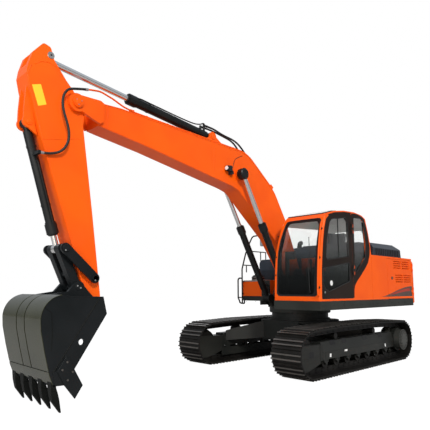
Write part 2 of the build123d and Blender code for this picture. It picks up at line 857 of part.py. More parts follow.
# Cab: its side outline, leaning right wall and window openings
cab_bottom = deck_top + pin_gap
cab_rear_x = -643
cab_wall = 45
cab_corner = 42
cab_outer_y = house_half_width
cab_door_knuckles = (1900, 2725)
cab_outline = (
    (cab_rear_x, cab_bottom),
    (1350, cab_bottom),
    (1345, 1500),
    (1330, 1800),
    (1300, 2100),
    (1255, 2400),
    (1200, 2650),
    (1130, 2860),
    (1060, 2935),
    (760, 3010),
    (400, 3055),
    (20, 3070),
    (-280, 3040),
    (-440, 2980),
    (-545, 2700),
    (-613, 2452),
    (cab_rear_x, 2250),
)
right_lean = ((0, 2250), (77, 2760), (120, 2900), (160, 3100))
windscreen = ((410, 1400), (1308, 1400), (1308, 2850), (530, 2850), (447, 2500), (410, 2250))
rear_window = ((560, 2300), (1270, 2300), (1270, 2760), (580, 2760))
roof_window = ((700, 560), (1000, 560), (1000, 1200), (700, 1200))
right_window = ((-470, 1800), (1180, 1800), (1150, 2250), (1060, 2760), (-400, 2820), (-540, 2300))
quarter_window = (
    (60, 2960),
    (-234, 2975),
    (-350, 2925),
    (-433, 2458),
    (-376, 2159),
    (0, 1865),
    (75, 1905),
)
upper_window = (
    (970, 2775),
    (880, 2850),
    (380, 2925),
    (287, 2850),
    (290, 2165),
    (1085, 2063),
    (1122, 2117),
    (1105, 2370),
)
lower_window = (
    (1243, 1905),
    (290, 2043),
    (267, 2004),
    (278, 1683),
    (1050, 1486),
    (1180, 1540),
    (1258, 1640),
)
door_rear_x = 150
door_bottom = 1352
doorway = (
    (door_rear_x, door_bottom),
    (1303, door_bottom),
    (1285, 1800),
    (1255, 2100),
    (1210, 2400),
    (1155, 2650),
    (1085, 2825),
    (985, 2903),
    (760, 2965),
    (400, 3010),
    (door_rear_x, 3022),
)
glass_depth = 14
glass_plate = 6


def cab_form(inset):
    with BuildPart() as form:
        with BuildSketch(side(cab_outer_y - inset)):
            Polygon(*cab_outline, align=None)
            if inset:
                offset(amount=-inset, kind=Kind.INTERSECTION, mode=Mode.REPLACE)
        extrude(amount=cab_outer_y - cab_inner_y - 2 * inset)
        with BuildSketch(across(cab_rear_x - 20)):
            lean = [(cab_inner_y + inset + dy, z) for dy, z in right_lean]
            Polygon(*lean, (cab_inner_y - 50, 3100), (cab_inner_y - 50, 2250), align=None)
        extrude(amount=2100, mode=Mode.SUBTRACT)
    return form.part


def opening(points, radius, inset=0):
    Polygon(*points, align=None)
    fillet(vertices(), radius)
    if inset:
        offset(amount=-inset, mode=Mode.REPLACE)


# Prisms through the windows of the shell, with an inset for the panes
def window_prisms(inset):
    with BuildPart() as prisms:
        with BuildSketch(across(cab_front_x - 400)):
            opening(windscreen, 60, inset)
        extrude(amount=500)
        with BuildSketch(across(cab_rear_x - 50)):
            opening(rear_window, 70, inset)
        extrude(amount=320)
        with BuildSketch(level(2800)):
            opening(roof_window, 50, inset)
        extrude(amount=400)
        with BuildSketch(side(cab_inner_y + 180)):
            opening(right_window, 70, inset)
        extrude(amount=260)
        with BuildSketch(side(cab_outer_y + 20)):
            opening(quarter_window, 40, inset)
        extrude(amount=cab_wall + 40)
    return prisms.part


with BuildPart() as cab_shell:
    add(cab_form(0))
    near_edges = cab_shell.edges().filter_by(lambda e: e.center().Y > cab_outer_y - 1)
    front_edges = near_edges.filter_by(lambda e: swing_x + 1100 < e.center().X < swing_x + 1349.9)
    fillet(front_edges, cab_corner)
    add(cab_form(cab_wall), mode=Mode.SUBTRACT)
    add(window_prisms(0), mode=Mode.SUBTRACT)
    # Doorway
    with BuildSketch(side(cab_outer_y + 20)):
        opening(doorway, 30)
    extrude(amount=cab_wall + 40, mode=Mode.SUBTRACT)
    # Fixed knuckles and leaves of the door
    for middle in cab_door_knuckles:
        for end in left_and_right:
            with BuildSketch(level(middle + end * (knuckle_length + pin_gap) - knuckle_length / 2)):
                with Locations((door_rear_x, hinge_y)):
                    Circle(knuckle_radius)
                with Locations((door_rear_x - leaf_length / 2, cab_outer_y + 3)):
                    Rectangle(leaf_length, 6)
            extrude(amount=knuckle_length)
cab_shell.part.label = "cab_shell"
export_step(cab_shell.part, "parts/cab_shell.step")

# Panes of the shell, set back from its outside
with BuildPart() as cab_glass:
    add(cab_form(glass_depth))
    add(cab_form(glass_depth + glass_plate), mode=Mode.SUBTRACT)
    add(window_prisms(pin_gap), mode=Mode.INTERSECT)
cab_glass.part.label = "cab_glass"
export_step(cab_glass.part, "parts/cab_glass.step")

# Cab door with its upper and lower windows
with BuildPart() as cab_door:
    with BuildSketch(side(cab_outer_y)):
        opening(doorway, 30, 6)
    extrude(amount=cab_wall)
    for points in (upper_window, lower_window):
        with BuildSketch(side(cab_outer_y + 20)):
            opening(points, 34)
        extrude(amount=cab_wall + 40, mode=Mode.SUBTRACT)
    for middle in cab_door_knuckles:
        with BuildSketch(level(middle - knuckle_length / 2)):
            with Locations((door_rear_x, hinge_y)):
                Circle(knuckle_radius)
            with Locations((door_rear_x + leaf_length / 2, cab_outer_y + 3)):
                Rectangle(leaf_length, 6)
        extrude(amount=knuckle_length)
cab_door.part.label = "cab_door"
export_step(cab_door.part, "parts/cab_door.step")

with BuildPart() as door_glass:
    for points in (upper_window, lower_window):
        with BuildSketch(side(cab_outer_y - glass_depth)):
            opening(points, 34, pin_gap)
        extrude(amount=glass_plate)
door_glass.part.label = "door_glass"
export_step(door_glass.part, "parts/door_glass.step")

# Roof hatch: a plate that follows the roof over its window
hatch_rise = 26
hatch_line = ((1050, 2937.5), (760, 3010), (560, 3035))
with BuildPart() as roof_hatch:
    with BuildSketch(side(1276)):
        lower = [(x, z + 2 * pin_gap) for x, z in hatch_line]
        upper = [(x, z + hatch_rise) for x, z in reversed(hatch_line)]
        Polygon(*lower, *upper, align=None)
    extrude(amount=1276 - 505)
    chamfer(roof_hatch.edges().group_by(Axis.Z)[-1], 6)
roof_hatch.part.label = "roof_hatch"
export_step(roof_hatch.part, "parts/roof_hatch.step")

# Seat inside the cab
seat_y = (cab_inner_y + cab_outer_y) / 2
with BuildPart() as seat:
    with BuildSketch(level(cab_bottom + cab_wall + pin_gap)):
        with Locations((100, seat_y)):
            Rectangle(380, 380)
    extrude(amount=330)
    with BuildSketch(level(cab_bottom + cab_wall + 320)):
        with Locations((130, seat_y)):
            Rectangle(520, 500)
    extrude(amount=130)
    with BuildSketch(side(seat_y + 240)):
        Polygon((-180, 1780), (-60, 1800), (-170, 2500), (-270, 2480), align=None)
    extrude(amount=480)
    with BuildSketch(side(seat_y + 140)):
        Polygon((-178, 2480), (-270, 2460), (-300, 2680), (-215, 2700), align=None)
    extrude(amount=280)
seat.part.label = "seat"
export_step(seat.part, "parts/seat.step")

# Consoles beside the seat with their levers, the travel levers and the monitor
with BuildPart() as controls:
    for hand in left_and_right:
        with BuildSketch(side(seat_y + hand * 335 + 65)):
            Polygon(
                (-250, cab_bottom + cab_wall + pin_gap),
                (-250, 1900),
                (330, 1960),
                (440, 1930),
                (380, cab_bottom + cab_wall + pin_gap),
                align=None,
            )
        extrude(amount=130)
        with BuildSketch(level(1930)):
            with Locations((330, seat_y + hand * 335)):
                Circle(20)
        extrude(amount=190)
        with BuildSketch(level(2060)):
            with Locations((330, seat_y + hand * 335)):
                Circle(32)
        extrude(amount=90)
        with BuildSketch(level(cab_bottom + cab_wall + pin_gap)):
            with Locations((880, seat_y + hand * 70)):
                Rectangle(160, 90)
        extrude(amount=60)
        with BuildSketch(level(cab_bottom + cab_wall + 40)):
            with Locations((880, seat_y + hand * 70)):
                Circle(12)
        extrude(amount=560)
    with BuildSketch(level(cab_bottom + cab_wall + pin_gap)):
        with Locations((1060, cab_inner_y + cab_wall + 60)):
            Rectangle(60, 60)
    extrude(amount=760)
    with BuildSketch(across(1010)):
        with Locations((cab_inner_y + cab_wall + 120, 2190)):
            Rectangle(220, 160)
    extrude(amount=50)
controls.part.label = "controls"
export_step(controls.part, "parts/controls.step")

# Boom
boom_half = 175
fork_half = 222
pipe_radius = 13
pipe_pad_rise = 8
pipe_pad_margin = 22
pipe_inner_y = 112
pipe_apart = 40
pipe_pads = (2275, 2669, 3397, 3900, 4334)


def boom_top(x):
    return 4160 + (x - 1900) * (4263 - 4160) / (4823 - 1900)


boom_bottom_knee = (2197, 3418)
with BuildPart() as boom:
    with BuildSketch(side(boom_half)):
        with BuildLine():
            Polyline(
                (194, 1882),
                (700, 2975),
                (1060, 3530),
                (1900, 4160),
                (4823, 4263),
                (5216, 4245),
                (5216, 3896),
                (5065, 3872),
                (4281, 3765),
                boom_bottom_knee,
                (1104, 2545),
                (438, 1707),
                close=True,
            )
        make_face()
        fillet(vertices().sort_by_distance((1060, 3530))[0], 700)
        fillet(vertices().sort_by_distance((1900, 4160))[0], 700)
        fillet(vertices().sort_by_distance(boom_bottom_knee)[0], 450)
        with Locations(foot_pin):
            Circle(150)
            Circle(large_pin + pin_gap, mode=Mode.SUBTRACT)
    extrude(amount=2 * boom_half)
    # Fork that holds the arm
    for hand in left_and_right:
        with BuildSketch(side(hand * (boom_half + fork_half) / 2 + (fork_half - boom_half) / 2)):
            Polygon(
                (5160, 4230),
                (5216, 4258),
                (5610, 4248),
                (5610, 4010),
                (5554, 4035),
                (5216, 3910),
                (5160, 3960),
                align=None,
            )
            with Locations(tip_pin):
                Circle(130)
        extrude(amount=fork_half - boom_half)
        with BuildSketch(side(hand * (fork_half + 14) + 14)):
            with Locations(tip_pin):
                Circle(78)
        extrude(amount=28)
        # Bosses at the boom cylinders' pins
        with BuildSketch(side(hand * (boom_half + 15) + 15)):
            with Locations(boom_rod_pin):
                Circle(110)
        extrude(amount=30)
        # Lugs of the arm cylinder
        with BuildSketch(side(hand * 80 + 16)):
            Polygon(
                (2400, 4150),
                (arm_base_pin[0] - 85, arm_base_pin[1]),
                (arm_base_pin[0] + 70, arm_base_pin[1]),
                (3050, 4150),
                align=None,
            )
            with Locations(arm_base_pin):
                Circle(85)
        extrude(amount=32)
    with BuildSketch(side(fork_half)):
        with Locations(tip_pin):
            Circle(middle_pin)
    extrude(amount=2 * fork_half)
    with BuildSketch(side(90)):
        with Locations(arm_base_pin):
            Circle(middle_pin)
    extrude(amount=180)
    # Welded pads, rear block and post that carry the pipes
    for x in pipe_pads:
        with BuildSketch(side(pipe_inner_y + pipe_pad_margin + pipe_apart)):
            Polygon(
                (x - 30, boom_top(x - 30) - 20),
                (x + 30, boom_top(x + 30) - 20),
                (x + 30, boom_top(x + 30) + pipe_pad_rise - pin_gap),
                (x - 30, boom_top(x - 30) + pipe_pad_rise - pin_gap),
                align=None,
            )
        extrude(amount=2 * pipe_pad_margin + pipe_apart)
    with BuildSketch(side(pipe_inner_y + pipe_pad_margin + pipe_apart)):
        Polygon((1156, 3667), (1198, 3611), (1126, 3557), (1084, 3613), align=None)
    extrude(amount=2 * pipe_pad_margin + pipe_apart)
    with BuildSketch(side(pipe_inner_y + 20)):
        Polygon((4560, 4230), (4640, 4230), (4640, 4320), (4560, 4320), align=None)
    extrude(amount=40)
    # Plate and block of the cylinder's hoses
    with BuildSketch(side(90)):
        Polygon((1705, 4145), (1775, 4075), (1740, 4000), (1640, 3920), (1620, 4060), align=None)
    extrude(amount=180)
boom.part.label = "boom"
export_step(boom.part, "parts/boom.step")

# Arm
arm_half = 168
cheek_plate = 80
horn_slot = arm_half - cheek_plate
tip_boss = 105
with BuildPart() as arm:
    with BuildSketch(side(arm_half)):
        with BuildLine():
            Polyline(
                (6088, 4842),
                (6232, 4665),
                (6288, 4473),
                (arm_front_x, 4352),
                (6266, 4180),
                (6082, 3557),
                (5712, 2522),
                (5536, 2013),
                (5425, 1647),
                (5313, 1480),
                (bucket_pin[0] + 97, bucket_pin[1] + 40),
                (bucket_pin[0] - 103, bucket_pin[1] + 20),
                (5120, 1455),
                (5275, 2570),
                (5463, 3824),
                (5440, 4050),
                (5640, 4310),
                (5742, 4415),
                (5849, 4549),
                (5930, 4650),
                (5985, 4812),
                close=True,
            )
        make_face()
        fillet(vertices().sort_by(Axis.Y)[-2:], 50)
        with Locations(tip_pin):
            Circle(150)
            Circle(middle_pin + pin_gap, mode=Mode.SUBTRACT)
        with Locations(bucket_pin):
            Circle(tip_boss)
            Circle(middle_pin + pin_gap, mode=Mode.SUBTRACT)
    extrude(amount=2 * arm_half)
    # Slot between the horn's cheeks for the arm cylinder's rod
    with BuildSketch(side(horn_slot)):
        Polygon(
            (5600, 4395),
            (6080, 4395),
            (6200, 4470),
            (6350, 4520),
            (6350, 4950),
            (5600, 4950),
            align=None,
        )
    extrude(amount=2 * horn_slot, mode=Mode.SUBTRACT)
    # Lugs of the bucket cylinder
    for hand in left_and_right:
        with BuildSketch(side(hand * 90 + 18)):
            Polygon((6270, 4250), (6290, 3900), (6290, 3721), (6219, 3640), (6100, 3560), align=None)
            with Locations(bucket_base_pin):
                Circle(82)
        extrude(amount=36)
        # Bosses of the side links
        with BuildSketch(side(hand * (arm_half + 30) + 30)):
            with Locations(side_link_pin):
                Circle(62)
        extrude(amount=60)
        with BuildSketch(side(hand * (arm_half + 60) + 60)):
            with Locations(side_link_pin):
                Circle(small_pin)
        extrude(amount=120)
    with BuildSketch(side(90)):
        with Locations(bucket_base_pin):
            Circle(small_pin)
    extrude(amount=180)
arm.part.label = "arm"
export_step(arm.part, "parts/arm.step")

# Bucket: wrapped shell, side plates, ears, lip, teeth and side cutters
bucket_half = 590
shell_plate = 30
side_plate = 28
ear_inner = arm_half + side_gap + 1
ear_plate = 50
lip_point = (5975, 372)
side_rear_edge = ((5716, 545), (5265, 1210), (5323, 1434))
back_corner = (6198, 1500)
back_radius = 290
inner_corner = (6162, 1464)
shell_outline = (
    (5352, 1425),
    (5757, 1444),
    back_corner,
    (6158, 1036),
    (6106, 795),
    (6035, 520),
    lip_point,
)
inner_outline = (
    (5990, 540),
    (6072, 800),
    (6126, 1040),
    inner_corner,
    (5757, 1412),
    (5352, 1393),
)


def corner_at(point):
    return vertices().sort_by_distance((point[0], point[1], 0))[:1]


with BuildPart() as bucket:
    with BuildSketch(side(bucket_half)):
        Polygon(*shell_outline, *inner_outline, align=None)
        fillet(corner_at(back_corner), back_radius)
        fillet(corner_at(inner_corner), back_radius - shell_plate)
    extrude(amount=2 * bucket_half)
    for hand in left_and_right:
        with BuildSketch(side(hand * (bucket_half - side_plate / 2) + side_plate / 2)):
            Polygon(*shell_outline[1:], *side_rear_edge, align=None)
            fillet(corner_at(back_corner), back_radius)
        extrude(amount=side_plate)
        # Ears on the shell's top
        with BuildSketch(side(hand * (ear_inner + ear_plate / 2) + ear_plate / 2)):
            Polygon(
                (bucket_pin[0] - 60, bucket_pin[1] - 80),
                (bucket_pin[0] - 80, bucket_pin[1] + 60),
                (bucket_link_pin[0] - 78, bucket_link_pin[1] + 10),
                (bucket_link_pin[0] + 60, bucket_link_pin[1] + 50),
                (5640, 1500),
                (5880, 1465),
                (5757, 1420),
                (5330, 1395),
                (bucket_pin[0] + 100, bucket_pin[1] - 20),
                align=None,
            )
            with Locations(bucket_link_pin):
                Circle(78)
            with Locations(bucket_pin):
                Circle(100)
        extrude(amount=ear_plate)
        # Side cutter bolted outside the side plate
        with BuildSketch(side(hand * (bucket_half + 10) + 10)):
            Polygon((5951, 585), (5846, 375), (5704, 201), (5601, 349), (5716, 545), align=None)
        extrude(amount=20)
    for pin in (bucket_pin, bucket_link_pin):
        with BuildSketch(side(ear_inner + ear_plate)):
            with Locations(pin):
                Circle(middle_pin)
        extrude(amount=2 * (ear_inner + ear_plate))
    with BuildSketch(side(bucket_half)):
        with Locations((5628, 873)):
            Circle(38)
    extrude(amount=2 * bucket_half, mode=Mode.SUBTRACT)
bucket.part.label = "bucket"
export_step(bucket.part, "parts/bucket.step")

# Teeth on the lip
tooth_count = 5
tooth_half = 42
tooth_spacing = 265
with BuildPart() as bucket_teeth:
    for tooth in range(tooth_count):
        tooth_y = tooth_spacing * (tooth - (tooth_count - 1) / 2)
        with BuildSketch(side(tooth_y + tooth_half)):
            Polygon(
                (5975, 371),
                (6031, 505),
                (6045, 420),
                (5975, 200),
                (5862, 45),
                (5850, 55),
                (5885, 220),
                (5940, 371),
                align=None,
            )
        extrude(amount=2 * tooth_half)
bucket_teeth.part.label = "bucket_teeth"
export_step(bucket_teeth.part, "parts/bucket_teeth.step")

# Pipes along the boom's top
pipe_height = pipe_pad_rise + pipe_radius
outer_y = pipe_inner_y + pipe_apart
with BuildPart() as boom_pipes:
    with BuildLine() as outer_pipe:
        FilletPolyline(
            (swing_x + 1173.8, outer_y, 3644.2),
            (swing_x + 1892.7, outer_y, 4160 + pipe_height),
            (swing_x + 4560, outer_y, boom_top(4560) + pipe_height),
            (swing_x + 4810, 196, 4288),
            (swing_x + 5000, 198, 4356),
            (swing_x + 5230, 218, 4398),
            (swing_x + 5400, 238, 4362),
            (swing_x + 5490, 241, 4341),
            radius=(720, 300, 300, 300, 300, 150),
        )
    with BuildSketch(Plane(origin=outer_pipe.line @ 0, z_dir=outer_pipe.line % 0)):
        Circle(pipe_radius)
    sweep()
    with BuildLine() as inner_pipe:
        FilletPolyline(
            (swing_x + 1173.8, pipe_inner_y, 3644.2),
            (swing_x + 1892.7, pipe_inner_y, 4160 + pipe_height),
            (swing_x + 4559.7, pipe_inner_y, boom_top(4560) + pipe_height),
            radius=(720,),
        )
    with BuildSketch(Plane(origin=inner_pipe.line @ 0, z_dir=inner_pipe.line % 0)):
        Circle(pipe_radius)
    sweep()
boom_pipes.part.label = "boom_pipes"
export_step(boom_pipes.part, "parts/boom_pipes.step")

# Work light on the boom's left side
with BuildPart() as work_light:
    with BuildSketch(side(boom_half + pin_gap + 62)):
        Polygon((2360, 3660), (2440, 3640), (2452, 3700), (2372, 3722), align=None)
    extrude(amount=62)
    with BuildSketch(side(boom_half + 92)):
        Polygon((2425, 3690), (2545, 3700), (2560, 3790), (2440, 3800), align=None)
        fillet(vertices(), 12)
    extrude(amount=64)
work_light.part.label = "work_light"
export_step(work_light.part, "parts/work_light.step")

# Hoses: the long one past the boom's tip, and the two from the arm cylinder's base
# columns of the points: x, y, z
hose_routes = {
    "arm_hose": (
        17.5,
        (
            (5490.4, 241, 4340.9),
            (5612, 245, 4312.6),
            (5790, 256, 4250),
            (5850, 256, 4020),
            (5695, 256, 3645),
            (5760, 250, 3405),
            (5925, 200, 3312),
            (6085.7, 200, 3310),
        ),
    ),
    "cylinder_hose_near": (
        17.5,
        (
            (2869.7, 45, 4500),
            (2720, 45, 4500),
            (2480, 58, 4428),
            (2130, 62, 4395),
            (1900, 56, 4270),
            (1740.3, 56, 4110.3),
        ),
    ),
    "cylinder_hose_far": (
        17.5,
        (
            (2869.7, -45, 4500),
            (2700, -45, 4500),
            (2400, -60, 4472),
            (2060, -62, 4420),
            (1890, -56, 4260),
            (1740.3, -56, 4110.3),
        ),
    ),
}


def corner_radii(points):
    radii = []
    for before, corner, after in zip(points, points[1:], points[2:]):
        turn = (corner - before).get_angle(after - corner)
        shorter = min((corner - before).length, (after - corner).length)
        radii.append(0.45 * shorter / tan(radians(turn) / 2))
    return radii


for name, (radius, route) in hose_routes.items():
    points = [Vector(swing_x + x, y, z) for x, y, z in route]
    radii = corner_radii(points)
    print(name, "radii", [round(value) for value in radii])
    with BuildPart() as hose:
        with BuildLine() as hose_path:
            FilletPolyline(*points, radius=radii)
        with BuildSketch(Plane(origin=hose_path.line @ 0, z_dir=hose_path.line % 0)):
            Circle(radius)
        sweep()
    hose.part.label = name
    export_step(hose.part, "parts/" + name + ".step")
    whole = pi * radius**2 * Wire(hose_path.edges()).length
    print(name, "volume share", round(hose.part.volume / whole, 4))

# Hydraulic cylinders: barrel with base eye and gland, rod with its own eye
# columns: name, base pin, rod pin, y places, barrel length, barrel radius, rod radius, eye radius,
# pin radius, reach of the rod's pin to each side
neck_length = 112
boom_places = (boom_cylinder_y, -boom_cylinder_y)
cylinders = [
    ("boom_cylinder", boom_base_pin, boom_rod_pin, boom_places, 1690, 62, 42, 78, middle_pin, 59),
    ("arm_cylinder", arm_base_pin, arm_rod_pin, (0,), 1850, 74, 48, 82, middle_pin, 83),
    ("bucket_cylinder", bucket_base_pin, link_pin, (0,), 1520, 62, 40, 66, small_pin, 51),
]
for name, base, end, places, barrel, radius, rod, eye, pin, reach in cylinders:
    with BuildPart() as barrels:
        for y in places:
            with BuildSketch(side(y + eye_half_width)):
                with Locations(base):
                    Circle(eye)
            extrude(amount=2 * eye_half_width)
            with BuildSketch(along(base, end, y, 40)):
                Circle(eye_half_width)
            extrude(amount=80)
            with BuildSketch(along(base, end, y, neck_length)):
                Circle(radius)
            extrude(amount=barrel - neck_length)
            with BuildSketch(along(base, end, y, barrel - 130)):
                Circle(radius + 9)
            extrude(amount=130)
            with BuildSketch(along(base, end, y, neck_length + 20)):
                Circle(rod + pin_gap)
            extrude(amount=barrel, mode=Mode.SUBTRACT)
            with BuildSketch(side(y + eye_half_width)):
                with Locations(base):
                    Circle(pin + pin_gap)
            extrude(amount=2 * eye_half_width, mode=Mode.SUBTRACT)
        if name == "arm_cylinder":
            # Two ports on top of the base end, turned back towards the boom
            for hand in left_and_right:
                with BuildSketch(level(4398)):
                    with Locations((2960, hand * 45)):
                        Circle(22)
                extrude(amount=124)
                with BuildSketch(across(2870)):
                    with Locations((hand * 45, 4500)):
                        Circle(21)
                extrude(amount=90)
        if name == "bucket_cylinder":
            # Port bar that reaches out to the hose beside the arm
            with BuildSketch(side(220)):
                with Locations((6106, 3310)):
                    Rectangle(40, 44)
            extrude(amount=170)
    barrels.part.label = name + "_barrel"
    export_step(barrels.part, "parts/" + name + "_barrel.step")

    with BuildPart() as rods:
        for y in places:
            with BuildSketch(side(y + eye_half_width)):
                with Locations(end):
                    Circle(eye)
            extrude(amount=2 * eye_half_width)
            with BuildSketch(along(base, end, y, barrel - 140)):
                Circle(rod)
            extrude(amount=span(base, end) - barrel + 140 - 30)
            with BuildSketch(side(y + reach)):
                with Locations(end):
                    Circle(pin)
            extrude(amount=2 * reach)
    rods.part.label = name + "_rod"
    export_step(rods.part, "parts/" + name + "_rod.step")

# Bucket linkage: side links outside the ears, H link between them
side_link_inner = ear_inner + ear_plate + 8
side_link_plate = 36
with BuildPart() as side_links:
    for hand in left_and_right:
        with BuildSketch(side(hand * (side_link_inner + side_link_plate / 2) + side_link_plate / 2)):
            with Locations(side_link_pin, link_pin):
                Circle(68)
            make_hull()
            with Locations(side_link_pin):
                Circle(small_pin + pin_gap, mode=Mode.SUBTRACT)
        extrude(amount=side_link_plate)
        with BuildSketch(side(hand * (side_link_inner + side_link_plate + 8) + 8)):
            with Locations(link_pin):
                Circle(46)
        extrude(amount=16)
side_links.part.label = "side_links"
export_step(side_links.part, "parts/side_links.step")

link_inner = eye_half_width + side_gap + 5
link_outer = ear_inner - side_gap - 1
bar_tube = (
    bucket_link_pin[0] * 0.65 + link_pin[0] * 0.35,
    bucket_link_pin[1] * 0.65 + link_pin[1] * 0.35,
)
with BuildPart() as bucket_link:
    for hand in left_and_right:
        with BuildSketch(side(hand * (link_inner + link_outer) / 2 + (link_outer - link_inner) / 2)):
            with Locations(bucket_link_pin):
                Circle(58)
            with Locations(link_pin):
                Circle(64)
            make_hull()
            with Locations(bucket_link_pin):
                Circle(middle_pin + pin_gap, mode=Mode.SUBTRACT)
        extrude(amount=link_outer - link_inner)
        stub_length = side_link_inner - side_gap - link_outer
        with BuildSketch(side(hand * (link_outer + stub_length / 2) + stub_length / 2)):
            with Locations(link_pin):
                Circle(small_pin)
        extrude(amount=stub_length)
    with BuildSketch(side(link_outer)):
        with Locations(bar_tube):
            Circle(45)
    extrude(amount=2 * link_outer)
bucket_link.part.label = "bucket_link"
export_step(bucket_link.part, "parts/bucket_link.step")
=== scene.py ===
import bpy
import bmesh
import math
from mathutils import Matrix, Vector


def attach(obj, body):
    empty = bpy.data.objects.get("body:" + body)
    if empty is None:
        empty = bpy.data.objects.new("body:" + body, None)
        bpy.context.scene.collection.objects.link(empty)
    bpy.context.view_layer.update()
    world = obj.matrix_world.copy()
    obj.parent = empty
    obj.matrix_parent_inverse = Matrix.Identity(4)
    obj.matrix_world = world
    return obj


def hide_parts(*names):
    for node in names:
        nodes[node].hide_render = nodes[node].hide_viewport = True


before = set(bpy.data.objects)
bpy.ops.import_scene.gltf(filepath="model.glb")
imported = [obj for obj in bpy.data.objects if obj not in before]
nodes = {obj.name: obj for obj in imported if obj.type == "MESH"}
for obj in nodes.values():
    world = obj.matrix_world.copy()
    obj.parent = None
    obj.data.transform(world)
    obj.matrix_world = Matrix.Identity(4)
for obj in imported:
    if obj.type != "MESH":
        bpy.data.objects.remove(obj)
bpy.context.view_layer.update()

# Places are millimetres, with X from the swing axis, which stands at swingX in the frame
swingX = -1677.5


def pt(x, y, z):
    return Vector(((x + swingX) / 1000, y / 1000, z / 1000))


def turns(count, start=0.0):
    return [start + 2 * math.pi * i / count for i in range(count)]


# Shader helpers: an input takes a value or another node's output
def feed(tree, socket, value):
    if isinstance(value, bpy.types.NodeSocket):
        tree.links.new(value, socket)
    else:
        socket.default_value = value


def node(tree, kind, inputs=None, **settings):
    n = tree.nodes.new(kind)
    for key, value in settings.items():
        setattr(n, key, value)
    for key, value in (inputs or {}).items():
        feed(tree, n.inputs[key], value)
    return n


def noiseNode(tree, coords, scale, detail=3.0):
    n = node(tree, "ShaderNodeTexNoise", {"Vector": coords, "Scale": scale, "Detail": detail})
    return n.outputs["Fac"]


def rampNode(tree, value, low, high, toLow=0.0, toHigh=1.0):
    n = node(tree, "ShaderNodeMapRange", {"Value": value, "From Min": low, "From Max": high,
                                          "To Min": toLow, "To Max": toHigh})
    return n.outputs["Result"]


def mathNode(tree, operation, a, b):
    return node(tree, "ShaderNodeMath", {0: a, 1: b}, operation=operation).outputs[0]


def mixColor(tree, factor, a, b):
    n = node(tree, "ShaderNodeMix", {"Factor": factor, "A": a, "B": b}, data_type="RGBA")
    return n.outputs["Result"]


def zOf(tree, vector):
    return node(tree, "ShaderNodeSeparateXYZ", {0: vector}).outputs["Z"]


def objectCoords(tree):
    return node(tree, "ShaderNodeTexCoord").outputs["Object"]


def colorRamp(tree, value, stops):
    n = node(tree, "ShaderNodeValToRGB", {"Fac": value})
    elements = n.color_ramp.elements
    elements[0].position, elements[0].color = stops[0]
    elements[1].position, elements[1].color = stops[-1]
    for position, color in stops[1:-1]:
        elements.new(position).color = color
    return n.outputs["Color"]


# Shader group shared by the painted, steel and plastic materials
def makeGroup(name, inputs, outputs):
    tree = bpy.data.node_groups.new(name, "ShaderNodeTree")
    for label, default in inputs.items():
        s = tree.interface.new_socket(label, in_out="INPUT", socket_type="NodeSocketFloat")
        s.default_value = default
    for label in outputs:
        tree.interface.new_socket(label, in_out="OUTPUT", socket_type="NodeSocketFloat")
    return tree, node(tree, "NodeGroupInput").outputs, node(tree, "NodeGroupOutput").inputs


dustTree, dustIn, dustOut = makeGroup(
    "surfaceDust",
    {"Amount": 0.3, "Low Height": 0.0, "High Height": 2.0, "Patch Scale": 3.0},
    ["Dust", "Mottle", "Grain"],
)
dustShape = dict(faint=0.15, facing=(-0.2, 1.0), upright=0.3, patch=(0.42, 0.7), detail=6.0,
                 mottleScale=1.7, grainScale=220.0)
coords = objectCoords(dustTree)
height = rampNode(dustTree, zOf(dustTree, coords), dustIn["Low Height"], dustIn["High Height"],
                  1.0, dustShape["faint"])
normal = node(dustTree, "ShaderNodeNewGeometry").outputs["Normal"]
upward = rampNode(dustTree, zOf(dustTree, normal), *dustShape["facing"])
patches = noiseNode(dustTree, coords, dustIn["Patch Scale"], dustShape["detail"])
settled = mathNode(dustTree, "MULTIPLY", upward, 1 - dustShape["upright"])
settled = mathNode(dustTree, "ADD", settled, dustShape["upright"])
dust = mathNode(dustTree, "MULTIPLY", height, settled)
dust = mathNode(dustTree, "MULTIPLY", dust, rampNode(dustTree, patches, *dustShape["patch"]))
feed(dustTree, dustOut["Dust"], mathNode(dustTree, "MULTIPLY", dust, dustIn["Amount"]))
feed(dustTree, dustOut["Mottle"], noiseNode(dustTree, coords, dustShape["mottleScale"], 2.0))
feed(dustTree, dustOut["Grain"], noiseNode(dustTree, coords, dustShape["grainScale"], 2.0))

